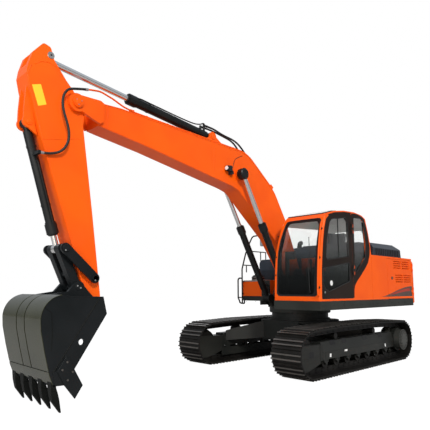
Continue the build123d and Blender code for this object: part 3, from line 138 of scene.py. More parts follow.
# One dictionary of changeable values per material: a and b are its two base colours,
# high is how far up the dust reaches, and what a material doesn't give comes from plain
plain = dict(rough=(0.28, 0.40), metal=0, coat=0, spec=0.5, bump=0.08, dust=0.10,
             dustTint=(0.07, 0.07, 0.07), high=3.0, patch=3.0)
materialValues = {
    "orangePaint": dict(a=(0.89, 0.108, 0.003), b=(0.84, 0.092, 0.003), rough=(0.32, 0.46), coat=0.04,
                        spec=0.14, bump=0.048, dustTint=(0.50, 0.30, 0.16), patch=2.5),
    "cabDark": dict(a=(0.012, 0.007, 0.005), b=(0.018, 0.011, 0.008), rough=(0.40, 0.54), spec=0.13,
                    dust=0.04, dustTint=(0.07, 0.06, 0.05)),
    "skirtDark": dict(a=(0.015, 0.017, 0.014), b=(0.023, 0.025, 0.021), rough=(0.42, 0.58), spec=0.28,
                      bump=0.12, dustTint=(0.07, 0.065, 0.05), high=2.0, patch=4.0),
    "hoodBlue": dict(a=(0.008, 0.012, 0.020), b=(0.013, 0.018, 0.028), rough=(0.26, 0.40), coat=0.1,
                     spec=0.4),
    "tankBlue": dict(a=(0.020, 0.028, 0.040), b=(0.030, 0.039, 0.054), rough=(0.28, 0.42), coat=0.1,
                     spec=0.35),
    "frameBlack": dict(a=(0.008, 0.009, 0.008), b=(0.015, 0.016, 0.014), rough=(0.36, 0.56), spec=0.26,
                       bump=0.20, dust=0.12, dustTint=(0.045, 0.04, 0.033), high=1.2, patch=5.0),
    "beamDark": dict(a=(0.011, 0.0115, 0.010), b=(0.018, 0.0185, 0.016), rough=(0.34, 0.52), spec=0.26,
                     bump=0.20, dust=0.16, dustTint=(0.045, 0.04, 0.033), high=1.2, patch=5.0),
    "beamGrey": dict(a=(0.030, 0.031, 0.028), b=(0.044, 0.045, 0.040), rough=(0.34, 0.52), spec=0.35,
                     bump=0.20, dust=0.36, dustTint=(0.06, 0.055, 0.045), high=1.2, patch=5.0),
    "trackSteel": dict(a=(0.005, 0.0047, 0.0043), b=(0.012, 0.0112, 0.010), rough=(0.38, 0.62), metal=0.1,
                       spec=0.20, bump=0.32, dust=0.16, dustTint=(0.05, 0.043, 0.035), high=1.0, patch=9.0),
    "wornSteel": dict(a=(0.075, 0.070, 0.062), b=(0.13, 0.12, 0.11), rough=(0.30, 0.46), metal=0.6,
                      bump=0.32, dust=0.4, dustTint=(0.06, 0.05, 0.04), high=1.0, patch=9.0),
    "bucketBlack": dict(a=(0.004, 0.0055, 0.006), b=(0.008, 0.0095, 0.0105), rough=(0.26, 0.40), coat=0.03,
                        spec=0.18, bump=0.12, dust=0.08, dustTint=(0.06, 0.052, 0.038), high=1.5, patch=5.0),
    # the bucket back's olive, lighter than bucketBlack, is a painted reflection of its glossy back
    "bucketPaintedReflection": dict(a=(0.027, 0.029, 0.015), b=(0.040, 0.042, 0.024), rough=(0.18, 0.30), metal=0.1,
                        coat=0.06, spec=0.4, bump=0.12, dust=0.20, dustTint=(0.06, 0.052, 0.038), high=1.5,
                        patch=5.0),
    "toothSteel": dict(a=(0.003, 0.0035, 0.003), b=(0.006, 0.0065, 0.0055), rough=(0.46, 0.64), spec=0.12,
                       bump=0.32, dust=0.06, dustTint=(0.05, 0.043, 0.035), high=1.0, patch=9.0),
    "glossBlack": dict(a=(0.005, 0.006, 0.006), b=(0.009, 0.010, 0.010), rough=(0.34, 0.50), coat=0.05,
                       spec=0.24, dust=0.04, dustTint=(0.05, 0.045, 0.04), patch=4.0),
    "boltSteel": dict(a=(0.34, 0.34, 0.33), b=(0.46, 0.46, 0.44), rough=(0.28, 0.45), metal=0.8, bump=0.24,
                      dust=0.30, dustTint=(0.12, 0.10, 0.08), high=1.0, patch=12.0),
    "whitePlastic": dict(a=(0.76, 0.77, 0.76), b=(0.82, 0.82, 0.80), rough=(0.30, 0.45), coat=0.1,
                         dust=0.12, dustTint=(0.45, 0.42, 0.38), high=3.5, patch=4.0),
    "signYellow": dict(a=(0.84, 0.58, 0.02), b=(0.80, 0.53, 0.02), rough=(0.30, 0.42), coat=0.2, bump=0.04,
                       dustTint=(0.4, 0.3, 0.15), patch=6.0),
    "headLining": dict(a=(0.62, 0.62, 0.60), b=(0.70, 0.70, 0.68), rough=(0.60, 0.80), spec=0.3, bump=0.40,
                       dust=0.08, dustTint=(0.3, 0.3, 0.28), patch=6.0),
    "interiorDark": dict(a=(0.010, 0.010, 0.011), b=(0.017, 0.017, 0.018), rough=(0.60, 0.78), spec=0.3,
                         bump=0.40, dust=0.08, dustTint=(0.03, 0.03, 0.025), patch=6.0),
    "rubberBlack": dict(a=(0.009, 0.009, 0.009), b=(0.016, 0.016, 0.016), rough=(0.48, 0.66), spec=0.35,
                        bump=0.32, dust=0.16, dustTint=(0.04, 0.035, 0.03), patch=8.0),
    "swooshGrey": dict(a=(0.050, 0.036, 0.032), b=(0.10, 0.050, 0.036), coat=0.1, spec=0.4, bump=0.04,
                       dustTint=(0.12, 0.08, 0.06)),
    "swooshRed": dict(a=(0.30, 0.020, 0.008), b=(0.38, 0.028, 0.010), coat=0.1, spec=0.4, bump=0.04,
                      dustTint=(0.2, 0.1, 0.06)),
    "lampRed": dict(a=(0.45, 0.01, 0.008), b=(0.55, 0.015, 0.01), rough=(0.12, 0.22), coat=0.5, bump=0.12,
                    dustTint=(0.2, 0.1, 0.08), patch=6.0),
}
bumpDepth = 0.002


def newMaterial(name):
    m = bpy.data.materials.new(name)
    m.use_nodes = True
    return m, m.node_tree, m.node_tree.nodes["Principled BSDF"].inputs


def bumpNode(tree, height, strength, depth):
    n = node(tree, "ShaderNodeBump", {"Height": height, "Strength": strength, "Distance": depth})
    return n.outputs["Normal"]


def paintMaterial(name, v):
    m, tree, shader = newMaterial(name)
    group = node(tree, "ShaderNodeGroup", {
        "Amount": v["dust"], "High Height": v["high"], "Patch Scale": v["patch"]}, node_tree=dustTree).outputs
    base = mixColor(tree, rampNode(tree, group["Mottle"], 0.35, 0.65), (*v["a"], 1), (*v["b"], 1))
    feed(tree, shader["Base Color"], mixColor(tree, group["Dust"], base, (*v["dustTint"], 1)))
    halves = [mathNode(tree, "MULTIPLY", group[key], 0.5) for key in ("Mottle", "Grain")]
    mixed = mathNode(tree, "ADD", mathNode(tree, "ADD", *halves), group["Dust"])
    feed(tree, shader["Roughness"], rampNode(tree, mixed, 0, 1, *v["rough"]))
    feed(tree, shader["Normal"], bumpNode(tree, group["Grain"], v["bump"], bumpDepth))
    for key, value in (("Metallic", v["metal"]), ("Coat Weight", v["coat"]), ("Coat Roughness", 0.08),
                       ("Specular IOR Level", v["spec"])):
        shader[key].default_value = value
    return m


def chromeMaterial():
    m, tree, shader = newMaterial("rodChrome")
    shader["Base Color"].default_value = (0.78, 0.77, 0.75, 1)
    shader["Metallic"].default_value = 1.0
    fine = noiseNode(tree, objectCoords(tree), 90.0, 4.0)
    feed(tree, shader["Roughness"], rampNode(tree, fine, 0, 1, 0.08, 0.22))
    return m


# The glass's colour is a painted reflection: nearly black at the cab's foot and clear under its roof
glassValues = dict(ior=1.3, specular=0.12, foot=1.4, top=2.6, waves=0.12, haze=0.03, stops=[
    (0.0, (0.05, 0.06, 0.055, 1)), (0.35, (0.16, 0.19, 0.18, 1)), (0.62, (0.58, 0.63, 0.61, 1)),
    (0.8, (0.92, 0.94, 0.93, 1)), (1.0, (0.97, 0.98, 0.97, 1))])


def glassMaterial():
    v = glassValues
    m, tree, shader = newMaterial("cabGlass")
    shader["Transmission Weight"].default_value = 1.0
    shader["IOR"].default_value = v["ior"]
    shader["Specular IOR Level"].default_value = v["specular"]
    place = objectCoords(tree)
    haze = noiseNode(tree, place, 3.0, 4.0)
    wavy = mathNode(tree, "ADD", zOf(tree, place), mathNode(tree, "MULTIPLY", haze, v["waves"]))
    # painted reflection: the glass colour runs from near black low to clear high
    glassPaintedReflection = colorRamp(tree, rampNode(tree, wavy, v["foot"], v["top"]), v["stops"])
    feed(tree, shader["Base Color"], glassPaintedReflection)
    feed(tree, shader["Roughness"], rampNode(tree, haze, 0, 1, 0.0, v["haze"]))
    return m


fabricValues = dict(scale=120.0, wander=1.5, low=(0.014, 0.014, 0.015, 1), high=(0.034, 0.034, 0.036, 1),
                    rough=0.85, sheen=0.3, bump=0.4, depth=0.001)


def fabricMaterial():
    v = fabricValues
    m, tree, shader = newMaterial("seatFabric")
    weave = node(tree, "ShaderNodeTexWave", {"Scale": v["scale"], "Distortion": v["wander"],
                                             "Vector": objectCoords(tree)}).outputs["Fac"]
    feed(tree, shader["Base Color"], mixColor(tree, weave, v["low"], v["high"]))
    shader["Roughness"].default_value = v["rough"]
    shader["Sheen Weight"].default_value = v["sheen"]
    feed(tree, shader["Normal"], bumpNode(tree, weave, v["bump"], v["depth"]))
    return m


mats = {name: paintMaterial(name, {**plain, **v}) for name, v in materialValues.items()}
mats.update(chrome=chromeMaterial(), glass=glassMaterial(), fabric=fabricMaterial())

nodeMaterials = {
    "orangePaint": ["counterweight", "body_panels", "left_door", "right_door", "tool_box", "cab_shell",
                    "boom", "arm", "boom_pipes"],
    "cabDark": ["cab_door", "air_cleaner"],
    "skirtDark": ["deck"],
    "hoodBlue": ["engine_hood"],
    "tankBlue": ["fuel_tank"],
    "frameBlack": ["car_body", "swing_bearing", "track_frame_left", "track_frame_right", "engine",
                   "exhaust", "handrails", "boom_bracket"],
    "trackSteel": ["track_left", "track_right", "idlers", "lower_rollers", "carrier_rollers"],
    "beamGrey": ["sprockets"],
    "bucketBlack": ["bucket", "side_links", "bucket_link"],
    "toothSteel": ["bucket_teeth"],
    "glossBlack": ["boom_cylinder_barrel", "arm_cylinder_barrel", "bucket_cylinder_barrel"],
    "interiorDark": ["controls", "work_light"],
    "whitePlastic": ["roof_hatch"],
    "chrome": ["boom_cylinder_rod", "arm_cylinder_rod", "bucket_cylinder_rod"],
    "glass": ["cab_glass", "door_glass"],
    "fabric": ["seat"],
    "rubberBlack": ["arm_hose", "cylinder_hose_near", "cylinder_hose_far"],
}
for key, names in nodeMaterials.items():
    for o in [nodes[name] for name in names if name in nodes]:
        if not o.material_slots:
            o.data.materials.append(mats[key])
        for s in o.material_slots:
            s.material = mats[key]
print("materials", len(mats))


# Mesh helpers
def dress(o, mat, body):
    bpy.context.scene.collection.objects.link(o)
    o.data.materials.append(mats[mat])
    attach(o, body)
    return o


def addMesh(name, bm, mat, body, smooth=False, bevel=0):
    mesh = bpy.data.meshes.new(name)
    bmesh.ops.recalc_face_normals(bm, faces=bm.faces)
    bm.to_mesh(mesh)
    bm.free()
    o = bpy.data.objects.new(name, mesh)
    if smooth or bevel:
        for p in mesh.polygons:
            p.use_smooth = True
        mesh.set_sharp_from_angle(angle=math.radians(35))
    if bevel:
        mod = o.modifiers.new("edge", "BEVEL")
        mod.width = bevel / 1000
        mod.segments = 2
        mod.limit_method = "ANGLE"
        mod.harden_normals = True
    return dress(o, mat, body)


# A piece is a list of shapes, each a function below with its values
def piece(name, mat, body, parts, smooth=False, bevel=0):
    bm = bmesh.new()
    for make, *values in parts:
        make(bm, *values)
    return addMesh(name, bm, mat, body, smooth, bevel)


def loft(bm, loops, caps=True):
    rings = [[bm.verts.new(pt(*p)) for p in loop] for loop in loops]
    n = len(rings[0])
    for a, b in zip(rings, rings[1:]):
        for i in range(n):
            bm.faces.new((a[i], a[(i + 1) % n], b[(i + 1) % n], b[i]))
    if caps:
        bm.faces.new(list(reversed(rings[0])))
        bm.faces.new(rings[-1])


def closedLoft(bm, loops):
    loft(bm, loops + loops[:1], caps=False)
    bmesh.ops.remove_doubles(bm, verts=bm.verts, dist=1e-7)


def prismY(bm, points, y0, y1):
    loft(bm, [[(x, y, z) for x, z in points] for y in (y0, y1)])


def prismX(bm, points, x0, x1):
    loft(bm, [[(x, y, z) for y, z in points] for x in (x0, x1)])


def boxIn(bm, x0, x1, y0, y1, z0, z1):
    prismY(bm, [(x0, z0), (x1, z0), (x1, z1), (x0, z1)], y0, y1)


def frameOf(axis):
    axis = axis.normalized()
    helper = Vector((0, 0, 1)) if abs(axis.z) < 0.9 else Vector((1, 0, 0))
    u = axis.cross(helper).normalized()
    return u, axis.cross(u).normalized()


def circles(a, b, ends, sides):
    a, b = Vector(a), Vector(b)
    u, v = frameOf(b - a)
    return [[(a, b)[end] + (u * math.cos(t) + v * math.sin(t)) * r for t in turns(sides)] for end, r in ends]


def rod(bm, a, b, radius, sides=16, radiusEnd=None):
    loft(bm, circles(a, b, ((0, radius), (1, radius if radiusEnd is None else radiusEnd)), sides))


def ringRod(bm, a, b, outer, inner, sides=24):
    closedLoft(bm, circles(a, b, ((0, inner), (0, outer), (1, outer), (1, inner)), sides))


# A rod across the machine, between two y
def pinY(bm, x, z, y0, y1, radius, sides=16, radiusEnd=None):
    rod(bm, (x, y0, z), (x, y1, z), radius, sides, radiusEnd)


def ringY(bm, x, z, y0, y1, outer, inner, sides=24):
    ringRod(bm, (x, y0, z), (x, y1, z), outer, inner, sides)


def boltSet(name, places, radius, rise, mat, body, sides=6):
    sunk = 2
    parts = []
    for place, direction in places:
        p, d = Vector(place), Vector(direction).normalized()
        parts.append((rod, p - d * sunk, p + d * rise, radius, sides))
    return piece(name, mat, body, parts)


def onCircle(centre, radius, t):
    return centre[0] + radius * math.cos(t), centre[1] + radius * math.sin(t)


def roundLoop(points, radius, steps=5):
    out = []
    n = len(points)
    for i in range(n):
        a, b, c = (Vector(points[(i + k) % n]) for k in (-1, 0, 1))
        u, w = (a - b), (c - b)
        half = u.angle(w) / 2
        reach = min(radius / math.tan(half), 0.45 * u.length, 0.45 * w.length)
        r = reach * math.tan(half)
        centre = b + (u.normalized() + w.normalized()).normalized() * r / math.sin(half)
        p, q = (b + side.normalized() * reach - centre for side in (u, w))
        a0 = math.atan2(p.y, p.x)
        turn = (math.atan2(q.y, q.x) - a0 + math.pi) % (2 * math.pi) - math.pi
        out += [onCircle(centre, r, a0 + turn * k / steps) for k in range(steps + 1)]
    return out


def roundBox(x0, x1, z0, z1, radius):
    return roundLoop([(x0, z0), (x1, z0), (x1, z1), (x0, z1)], radius)


# The loop's outline, met by rays from the centre
def around(loop, centre, count):
    out = []
    c = Vector(centre)
    for t in turns(count):
        d = Vector((math.cos(t), math.sin(t)))
        hits = []
        for i in range(len(loop)):
            a = Vector(loop[i]) - c
            e = Vector(loop[(i + 1) % len(loop)]) - c - a
            cross = d.x * e.y - d.y * e.x
            if abs(cross) < 1e-9:
                continue
            s = (a.x * e.y - a.y * e.x) / cross
            w = (a.x * d.y - a.y * d.x) / cross
            if -1e-6 <= w <= 1 + 1e-6 and s > 0:
                hits.append(s)
        out.append((c.x + d.x * max(hits), c.y + d.y * max(hits)))
    return out


def wire(name, points, radius, mat, body, smooth=True, cyclic=False):
    c = bpy.data.curves.new(name, "CURVE")
    c.dimensions = "3D"
    c.bevel_depth = radius / 1000
    c.bevel_resolution = 3
    c.resolution_u = 6
    c.use_fill_caps = True
    s = c.splines.new("NURBS" if smooth else "POLY")
    s.points.add(len(points) - 1)
    for p, q in zip(s.points, points):
        p.co = (*pt(*q), 1)
    if smooth:
        s.order_u = 3
        s.use_endpoint_u = not cyclic
    s.use_cyclic_u = cyclic
    return dress(bpy.data.objects.new(name, c), mat, body)


def bead(name, points, radius, mat, body, cyclic=False):
    return wire(name, points, radius, mat, body, smooth=False, cyclic=cyclic)


# A bead drawn in the plane y, through points of x and z
def beadY(name, y, points, radius, mat, body, cyclic=False):
    return bead(name, [(x, y, z) for x, z in points], radius, mat, body, cyclic)


hands = ((1, "Left"), (-1, "Right"))
print("helpers ready")

# Cab trim: side is its left wall, inset the windscreen behind the front's outline
cab = dict(side=1370, inset=14.2, fritThick=1.5, panelRise=3, sealRadius=9, glassCentre=(850, 2100))
side = cab["side"]
frontProfile = [(1350, 1313), (1345, 1500), (1330, 1800), (1300, 2100), (1255, 2400), (1200, 2650),
                (1130, 2860), (1060, 2935)]
roofProfile = [(-545, 2700), (-440, 2980), (-280, 3040), (20, 3070), (400, 3055), (760, 3010), (1060, 2935)]


def along(profile, value, key, get):
    rows = sorted(profile, key=lambda p: p[key])
    value = max(rows[0][key], min(rows[-1][key], value))
    for a, b in zip(rows, rows[1:]):
        if a[key] <= value <= b[key]:
            t = (value - a[key]) / (b[key] - a[key])
            return a[get] + (b[get] - a[get]) * t


def frontX(z):
    return along(frontProfile, z, 1, 0)


def roofZ(x):
    return along(roofProfile, x, 0, 1)


def onFront(y, z, out):
    return frontX(z) + out, y, z


windscreenOuter = roundLoop([(412, 1402), (1306, 1402), (1306, 2848), (531, 2848), (449, 2500), (412, 2250)], 60)
windscreenInner = roundLoop([(432, 1430), (1225, 1430), (1238, 2000), (1258, 2500), (1268, 2700),
                             (1230, 2790), (600, 2800), (500, 2560), (434, 2220)], 70)
outer, inner = (around(loop, cab["glassCentre"], 160) for loop in (windscreenOuter, windscreenInner))
rows = ((inner, 0), (outer, 0), (outer, cab["fritThick"]), (inner, cab["fritThick"]))
frit = [[onFront(y, z, out - cab["inset"]) for y, z in loop] for loop, out in rows]
piece("windscreenFrit", "glossBlack", "house", [(closedLoft, frit)], smooth=True)
seal = around(windscreenOuter, cab["glassCentre"], 96)
bead("windscreenSeal", [onFront(y, z, -3) for y, z in seal], 8, "rubberBlack", "house", True)

quarterOuter = [(146, 1358), (146, 3032), (20, 3046), (-119, 3044), (-270, 3018), (-388, 2975), (-455, 2850),
                (-535, 2640), (-592, 2385), (-570, 2230), (-492, 2075), (-330, 1930), (-163, 1803), (0, 1685),
                (92, 1600), (125, 1500), (131, 1358)]
quarterWindow = roundLoop([(60, 2960), (-234, 2975), (-350, 2925), (-433, 2458), (-376, 2159), (0, 1865),
                           (75, 1905)], 40)
header = [(152, 3020), (400, 3010), (760, 2965), (985, 2905), (1010, 2912), (980, 2932), (760, 2990),
          (400, 3034), (152, 3046)]


def sidePlate(name, outlines):
    c = bpy.data.curves.new(name, "CURVE")
    c.dimensions = "2D"
    c.fill_mode = "BOTH"
    c.extrude = cab["panelRise"] / 2000
    for loop in outlines:
        s = c.splines.new("POLY")
        s.points.add(len(loop) - 1)
        for p, (x, z) in zip(s.points, loop):
            p.co = ((x + swingX) / 1000, z / 1000, 0, 1)
        s.use_cyclic_u = True
    temp = bpy.data.objects.new(name, c)
    bpy.context.scene.collection.objects.link(temp)
    bpy.context.view_layer.update()
    mesh = bpy.data.meshes.new_from_object(temp)
    bpy.data.objects.remove(temp)
    upright = Matrix.Rotation(math.pi / 2, 4, "X")
    mesh.transform(Matrix.Translation((0, (side + cab["panelRise"] / 2) / 1000, 0)) @ upright)
    bm = bmesh.new()
    bm.from_mesh(mesh)
    bmesh.ops.remove_doubles(bm, verts=bm.verts, dist=1e-6)
    addMesh(name, bm, "cabDark", "house")


sidePlate("quarterPanel", [roundLoop(quarterOuter, 20, 3), quarterWindow])
sidePlate("doorHeader", [header])

doorway = [(150, 1352), (1303, 1352), (1285, 1800), (1255, 2100), (1210, 2400), (1155, 2650), (1085, 2825),
           (985, 2903), (760, 2965), (400, 3010), (150, 3022)]
upperWindow = roundLoop([(970, 2775), (880, 2850), (380, 2925), (287, 2850), (290, 2165), (1085, 2063),
                         (1122, 2117), (1105, 2370)], 34)
lowerWindow = roundLoop([(1243, 1905), (290, 2043), (267, 2004), (278, 1683), (1050, 1486), (1180, 1540),
                         (1258, 1640)], 34)
beadY("doorSeal", side - 6, roundLoop(doorway, 30, 4), 7, "rubberBlack", "house", True)
beadY("upperSeal", side - 4, upperWindow, cab["sealRadius"], "rubberBlack", "cab_door", True)
beadY("lowerSeal", side - 4, lowerWindow, cab["sealRadius"], "rubberBlack", "cab_door", True)
beadY("quarterSeal", side - 1, quarterWindow, cab["sealRadius"], "rubberBlack", "house", True)

# The sliding pane's bar, the latch with its knob, the round blank sticker and the hinges
latch = roundLoop([(1185, 1420), (1245, 1425), (1240, 1540), (1178, 1545)], 12)
knob = roundLoop([(1195, 1455), (1232, 1455), (1230, 1490), (1193, 1490)], 10)
sticker = dict(x=945, z=1642, y=1355.6, thick=1.4, radius=48)
piece("slideBar", "glossBlack", "cab_door", [(boxIn, 640, 662, side - 22, side - 8, 2120, 2885)], bevel=3)
piece("doorLatch", "glossBlack", "cab_door", [(prismY, latch, side - 1, side + 9)], bevel=3)
piece("doorLatchKnob", "boltSteel", "cab_door", [(prismY, knob, side + 8, side + 14)], bevel=2)
piece("roundSticker", "whitePlastic", "cab_door",
      [(pinY, sticker["x"], sticker["z"], sticker["y"], sticker["y"] + sticker["thick"], sticker["radius"], 32)])
hinge = dict(x=150, y=1382, radius=14.5, heights=(1900, 2725), leaf=(1370, 1379), pitch=64)
fixed, moving = [], []
x, y = hinge["x"], hinge["y"]
for z in hinge["heights"]:
    for middle in (z + hinge["pitch"], z - hinge["pitch"]):
        fixed.append((prismY, roundBox(106, 152, middle - 34, middle + 34, 8), *hinge["leaf"]))
        fixed.append((rod, (x, y, middle - 32), (x, y, middle + 32), hinge["radius"], 20))
    moving.append((rod, (x, y, z - 29), (x, y, z + 29), hinge["radius"], 20))
    moving.append((prismY, roundBox(150, 200, z - 28, z + 28, 8), *hinge["leaf"]))
piece("hingeFixed", "glossBlack", "house", fixed, smooth=True)
piece("hingeMoving", "glossBlack", "cab_door", moving, smooth=True)

# Grab rail before the near corner, with its stand-offs
rail = [(2790, 2, 1338), (2770, 48, 1340), (2600, 50, 1342), (2300, 50, 1344), (2000, 50, 1345),
        (1700, 50, 1345), (1500, 50, 1344), (1420, 44, 1342), (1405, 2, 1340)]
wire("grabRail", [onFront(y, z, out) for z, out, y in rail], 15, "orangePaint", "house")
standOffs = []
for z in (2640, 2100, 1560):
    standOffs += [(rod, onFront(1342, z, -6), onFront(1342, z, 44), 10, 12),
                  (rod, onFront(1342, z, -2), onFront(1342, z, 6), 22, 20)]
standOffs += [(rod, onFront(382, z, -4), onFront(382, z, 9), 13, 12) for z in (2560, 2150, 1800)]
piece("railStandOffs", "glossBlack", "house", standOffs, smooth=True)

# Roof hatch seal, gutter, foot bolts and wiper
hatch = dict(line=[(1050, 2937.5), (760, 3010), (560, 3035)], rise=9, sides=(505, 1276), radius=10)
line = [(x, z + hatch["rise"]) for x, z in hatch["line"]]
parts = [(rod, (xa, y, za), (xb, y, zb), hatch["radius"], 8)
         for (xa, za), (xb, zb) in zip(line, line[1:]) for y in hatch["sides"]]
parts += [(pinY, x, z, *hatch["sides"], hatch["radius"], 8) for x, z in (line[0], line[-1])]
piece("hatchSeal", "rubberBlack", "house", parts, smooth=True)
gutter = [(x, roofZ(x) + 1) for x in (1040, 900, 760, 600, 400, 200, 20, -130, -280, -440)]
beadY("roofGutter", 1352, gutter, 6, "orangePaint", "house")
boltSet("cabFootBolts", [((1349.5, y, 1345), (1, 0, 0)) for y in (440, 700, 960, 1220)], 9, 4, "orangePaint",
        "house")
wiper = [onFront(1150, 1480, 6), onFront(1120, 1900, 12), onFront(1108, 2150, 10)]
piece("wiper", "glossBlack", "house", [(rod, a, b, 7, 8) for a, b in zip(wiper, wiper[1:])] + [
    (rod, onFront(1150, 1850, -6), onFront(1080, 2500, -6), 6, 8),
    (rod, onFront(1150, 1480, -12), onFront(1150, 1480, 16), 20, 16)], smooth=True)

# Lining: the shell's inner faces, drawn a little into the room, pale under the roof
room = dict(off=0.002, probe=0.03, y=(385, 1345), floor=1335, rear=-622, margin=30, pale=2.77)
shell = nodes["cab_shell"].data
lining = dict(low=bmesh.new(), high=bmesh.new())
kept = 0
for f in shell.polygons:
    probe = f.center + f.normal * room["probe"]
    x, y, z = probe.x * 1000 - swingX, probe.y * 1000, probe.z * 1000
    under = room["floor"] < z < roofZ(x) - room["margin"]
    if under and room["y"][0] < y < room["y"][1] and room["rear"] < x < frontX(z) - room["margin"]:
        bm = lining["high" if f.center.z > room["pale"] else "low"]
        bm.faces.new([bm.verts.new(shell.vertices[i].co + f.normal * room["off"]) for i in f.vertices])
        kept += 1
print("lining faces", kept, "of", len(shell.polygons))
addMesh("cabLining", lining["low"], "interiorDark", "house")
addMesh("roofLining", lining["high"], "headLining", "house")
print("cab done")

# Service doors: louvre slats, dark mesh behind them, latch
louvre = dict(groups=((-2110, 2075), (-2190, 1765)), columns=(-220, 220), rows=4, pitch=50, half=199, depth=34)
for hand, door in ((1, "left_door"), (-1, "right_door")):
    front, back = hand * (side - 5), hand * (side - louvre["depth"])
    slats = []
    for gx, gz in louvre["groups"]:
        for x in [gx + column for column in louvre["columns"]]:
            for row in range(louvre["rows"]):
                z = gz + (row - (louvre["rows"] - 1) / 2) * louvre["pitch"]
                slat = [(front, z - 10), (front, z - 6), (back, z + 11), (back, z + 7)]
                slats.append((prismX, slat, x - louvre["half"], x + louvre["half"]))
    piece(door + "Slats", "orangePaint", door, slats)
    piece(door + "Mesh", "interiorDark", door,
          [(boxIn, gx - 435, gx + 435, hand * 1328, hand * 1324, gz - 95, gz + 95)
           for gx, gz in louvre["groups"]])
    piece(door + "Latch", "glossBlack", door,
          [(prismY, roundBox(-1640, -1560, 1745, 1805, 14), hand * 1369, hand * 1374)], bevel=2)
    piece(door + "Lock", "boltSteel", door, [(pinY, -1600, 1775, hand * 1373, hand * 1378, 14)])

# Plain soft band low along the rear of the left side, parted at the door's seam
bandShape = dict(start=-1040, end=-2655, low=1366, height=228, curve=1.5, steps=24)


def bandTop(x):
    t = (x - bandShape["start"]) / (bandShape["end"] - bandShape["start"])
    return bandShape["height"] * math.sin(math.pi / 2 * t) ** bandShape["curve"]


def sweepBand(name, x0, x1, lowShare, highShare, mat, body, out):
    steps = bandShape["steps"]
    xs = [x0 + (x1 - x0) * k / steps for k in range(steps + 1)]
    top = [(x, bandShape["low"] + bandTop(x) * highShare + 1) for x in xs]
    bottom = [(x, bandShape["low"] + bandTop(x) * lowShare) for x in xs]
    piece(name, mat, body, [(prismY, top + bottom[::-1], side - 0.4, side + out)])


sweepBand("panelBandGrey", -1045, -1492, 0, 1, "swooshGrey", "house", 1.2)
sweepBand("doorBandGrey", -1508, -2650, 0, 1, "swooshGrey", "left_door", 1.2)
sweepBand("doorBandRed", -1560, -2520, 0.52, 0.82, "swooshRed", "left_door", 1.8)

# Hood: ribs on top, grille fins behind and at the sides, handle
hood = dict(ribs=(-2120, -1890, -1660, -1430, -1200), edges=(-640, 815), ribHalf=14, top=2578,
            finPitch=92, rearFins=22, sideFins=13)
half, top = hood["ribHalf"], hood["top"]
parts = [(boxIn, x - half, x + half, -655, 830, top, top + 14) for x in hood["ribs"]]
parts += [(boxIn, -2134, -1186, y - half, y + half, top, top + 16) for y in hood["edges"]]
piece("hoodRibs", "hoodBlue", "engine_hood", parts, bevel=3)
fin = [(-2457, 2458), (-2485, 2262), (-2493, 2262), (-2465, 2458)]
parts = [(prismY, fin, y, y + 30) for y in [-900 + i * hood["finPitch"] for i in range(hood["rearFins"])]]
for x in [-2330 + i * hood["finPitch"] for i in range(hood["sideFins"])]:
    parts += [(boxIn, x, x + 34, *ys, 2285, 2425) for ys in ((1215, 1222), (-1047, -1040))]
piece("hoodGrille", "interiorDark", "engine_hood", parts)
wire("hoodHandle", [(-2470, 0, 2400), (-2520, 0, 2400), (-2525, 40, 2395), (-2525, 160, 2395),
                    (-2520, 200, 2400), (-2470, 200, 2400)], 9, "glossBlack", "engine_hood")

# Counterweight: tail lamps, a blank plate, caps over the lifting eyes, bolts
weight = dict(lampBack=-2949, plateBack=-2946, lampY=900, plateHalf=170, capX=-2750, capY=620)
piece("tailLamps", "lampRed", "house",
      [(boxIn, weight["lampBack"], -2930, y - 90, y + 90, 1500, 1560)
       for y in (-weight["lampY"], weight["lampY"])],
      bevel=8)
piece("blankPlate", "whitePlastic", "house",
      [(boxIn, weight["plateBack"], -2936, -weight["plateHalf"], weight["plateHalf"], 1700, 1800)], bevel=3)
boltSet("plateBolts", [((-2945.5, y, z), (-1, 0, 0)) for y in (-150, 150) for z in (1720, 1780)], 7, 4,
        "boltSteel", "house")
piece("liftCaps", "glossBlack", "house",
      [(rod, (weight["capX"], y, 2244.5), (weight["capX"], y, 2251), 34, 24)
       for y in (-weight["capY"], weight["capY"])],
      smooth=True)
boltSet("weightBolts", [((weight["capX"] + dx, y, 2245), (0, 0, 1)) for y in (-900, 900) for dx in (-40, 40)],
        16, 10, "boltSteel", "house")

# Exhaust bend, tank cap, treads, mirror face, air cleaner bands
wire("exhaustBend", [(-1800, -1180, 2600), (-1800, -1180, 2680), (-1810, -1180, 2740), (-1880, -1180, 2760)],
     60, "frameBlack", "house")
piece("tankCapRim", "glossBlack", "house", [(ringRod, (-620, -1000, 2292), (-620, -1000, 2304), 88, 40)],
      smooth=True)


# Round studs in rows, left out within clear of the middle
def treads(name, xs, ys, z, middle, clear, mat):
    places = [((x, y, z), (0, 0, 1)) for x in xs for y in ys if math.dist((x, y), middle) > clear]
    boltSet(name, places, 8, 4, mat, "house", 8)


treads("toolBoxTreads", range(-300, 290, 36), range(-1330, -600, 48), 1731, (60, -1100), 175, "boltSteel")
treads("tankTreads", range(-1220, -400, 44), range(-1240, -420, 52), 2245, (-620, -1000), 120, "frameBlack")
piece("mirrorFace", "chrome", "house", [(boxIn, -385, -382.5, -1380, -1206, 2600, 2880)], bevel=1)
piece("cleanerBands", "boltSteel", "house",
      [(ringRod, (60, -1100, z), (60, -1100, z + 12), 156, 149, 40) for z in (1752, 1800)], smooth=True)

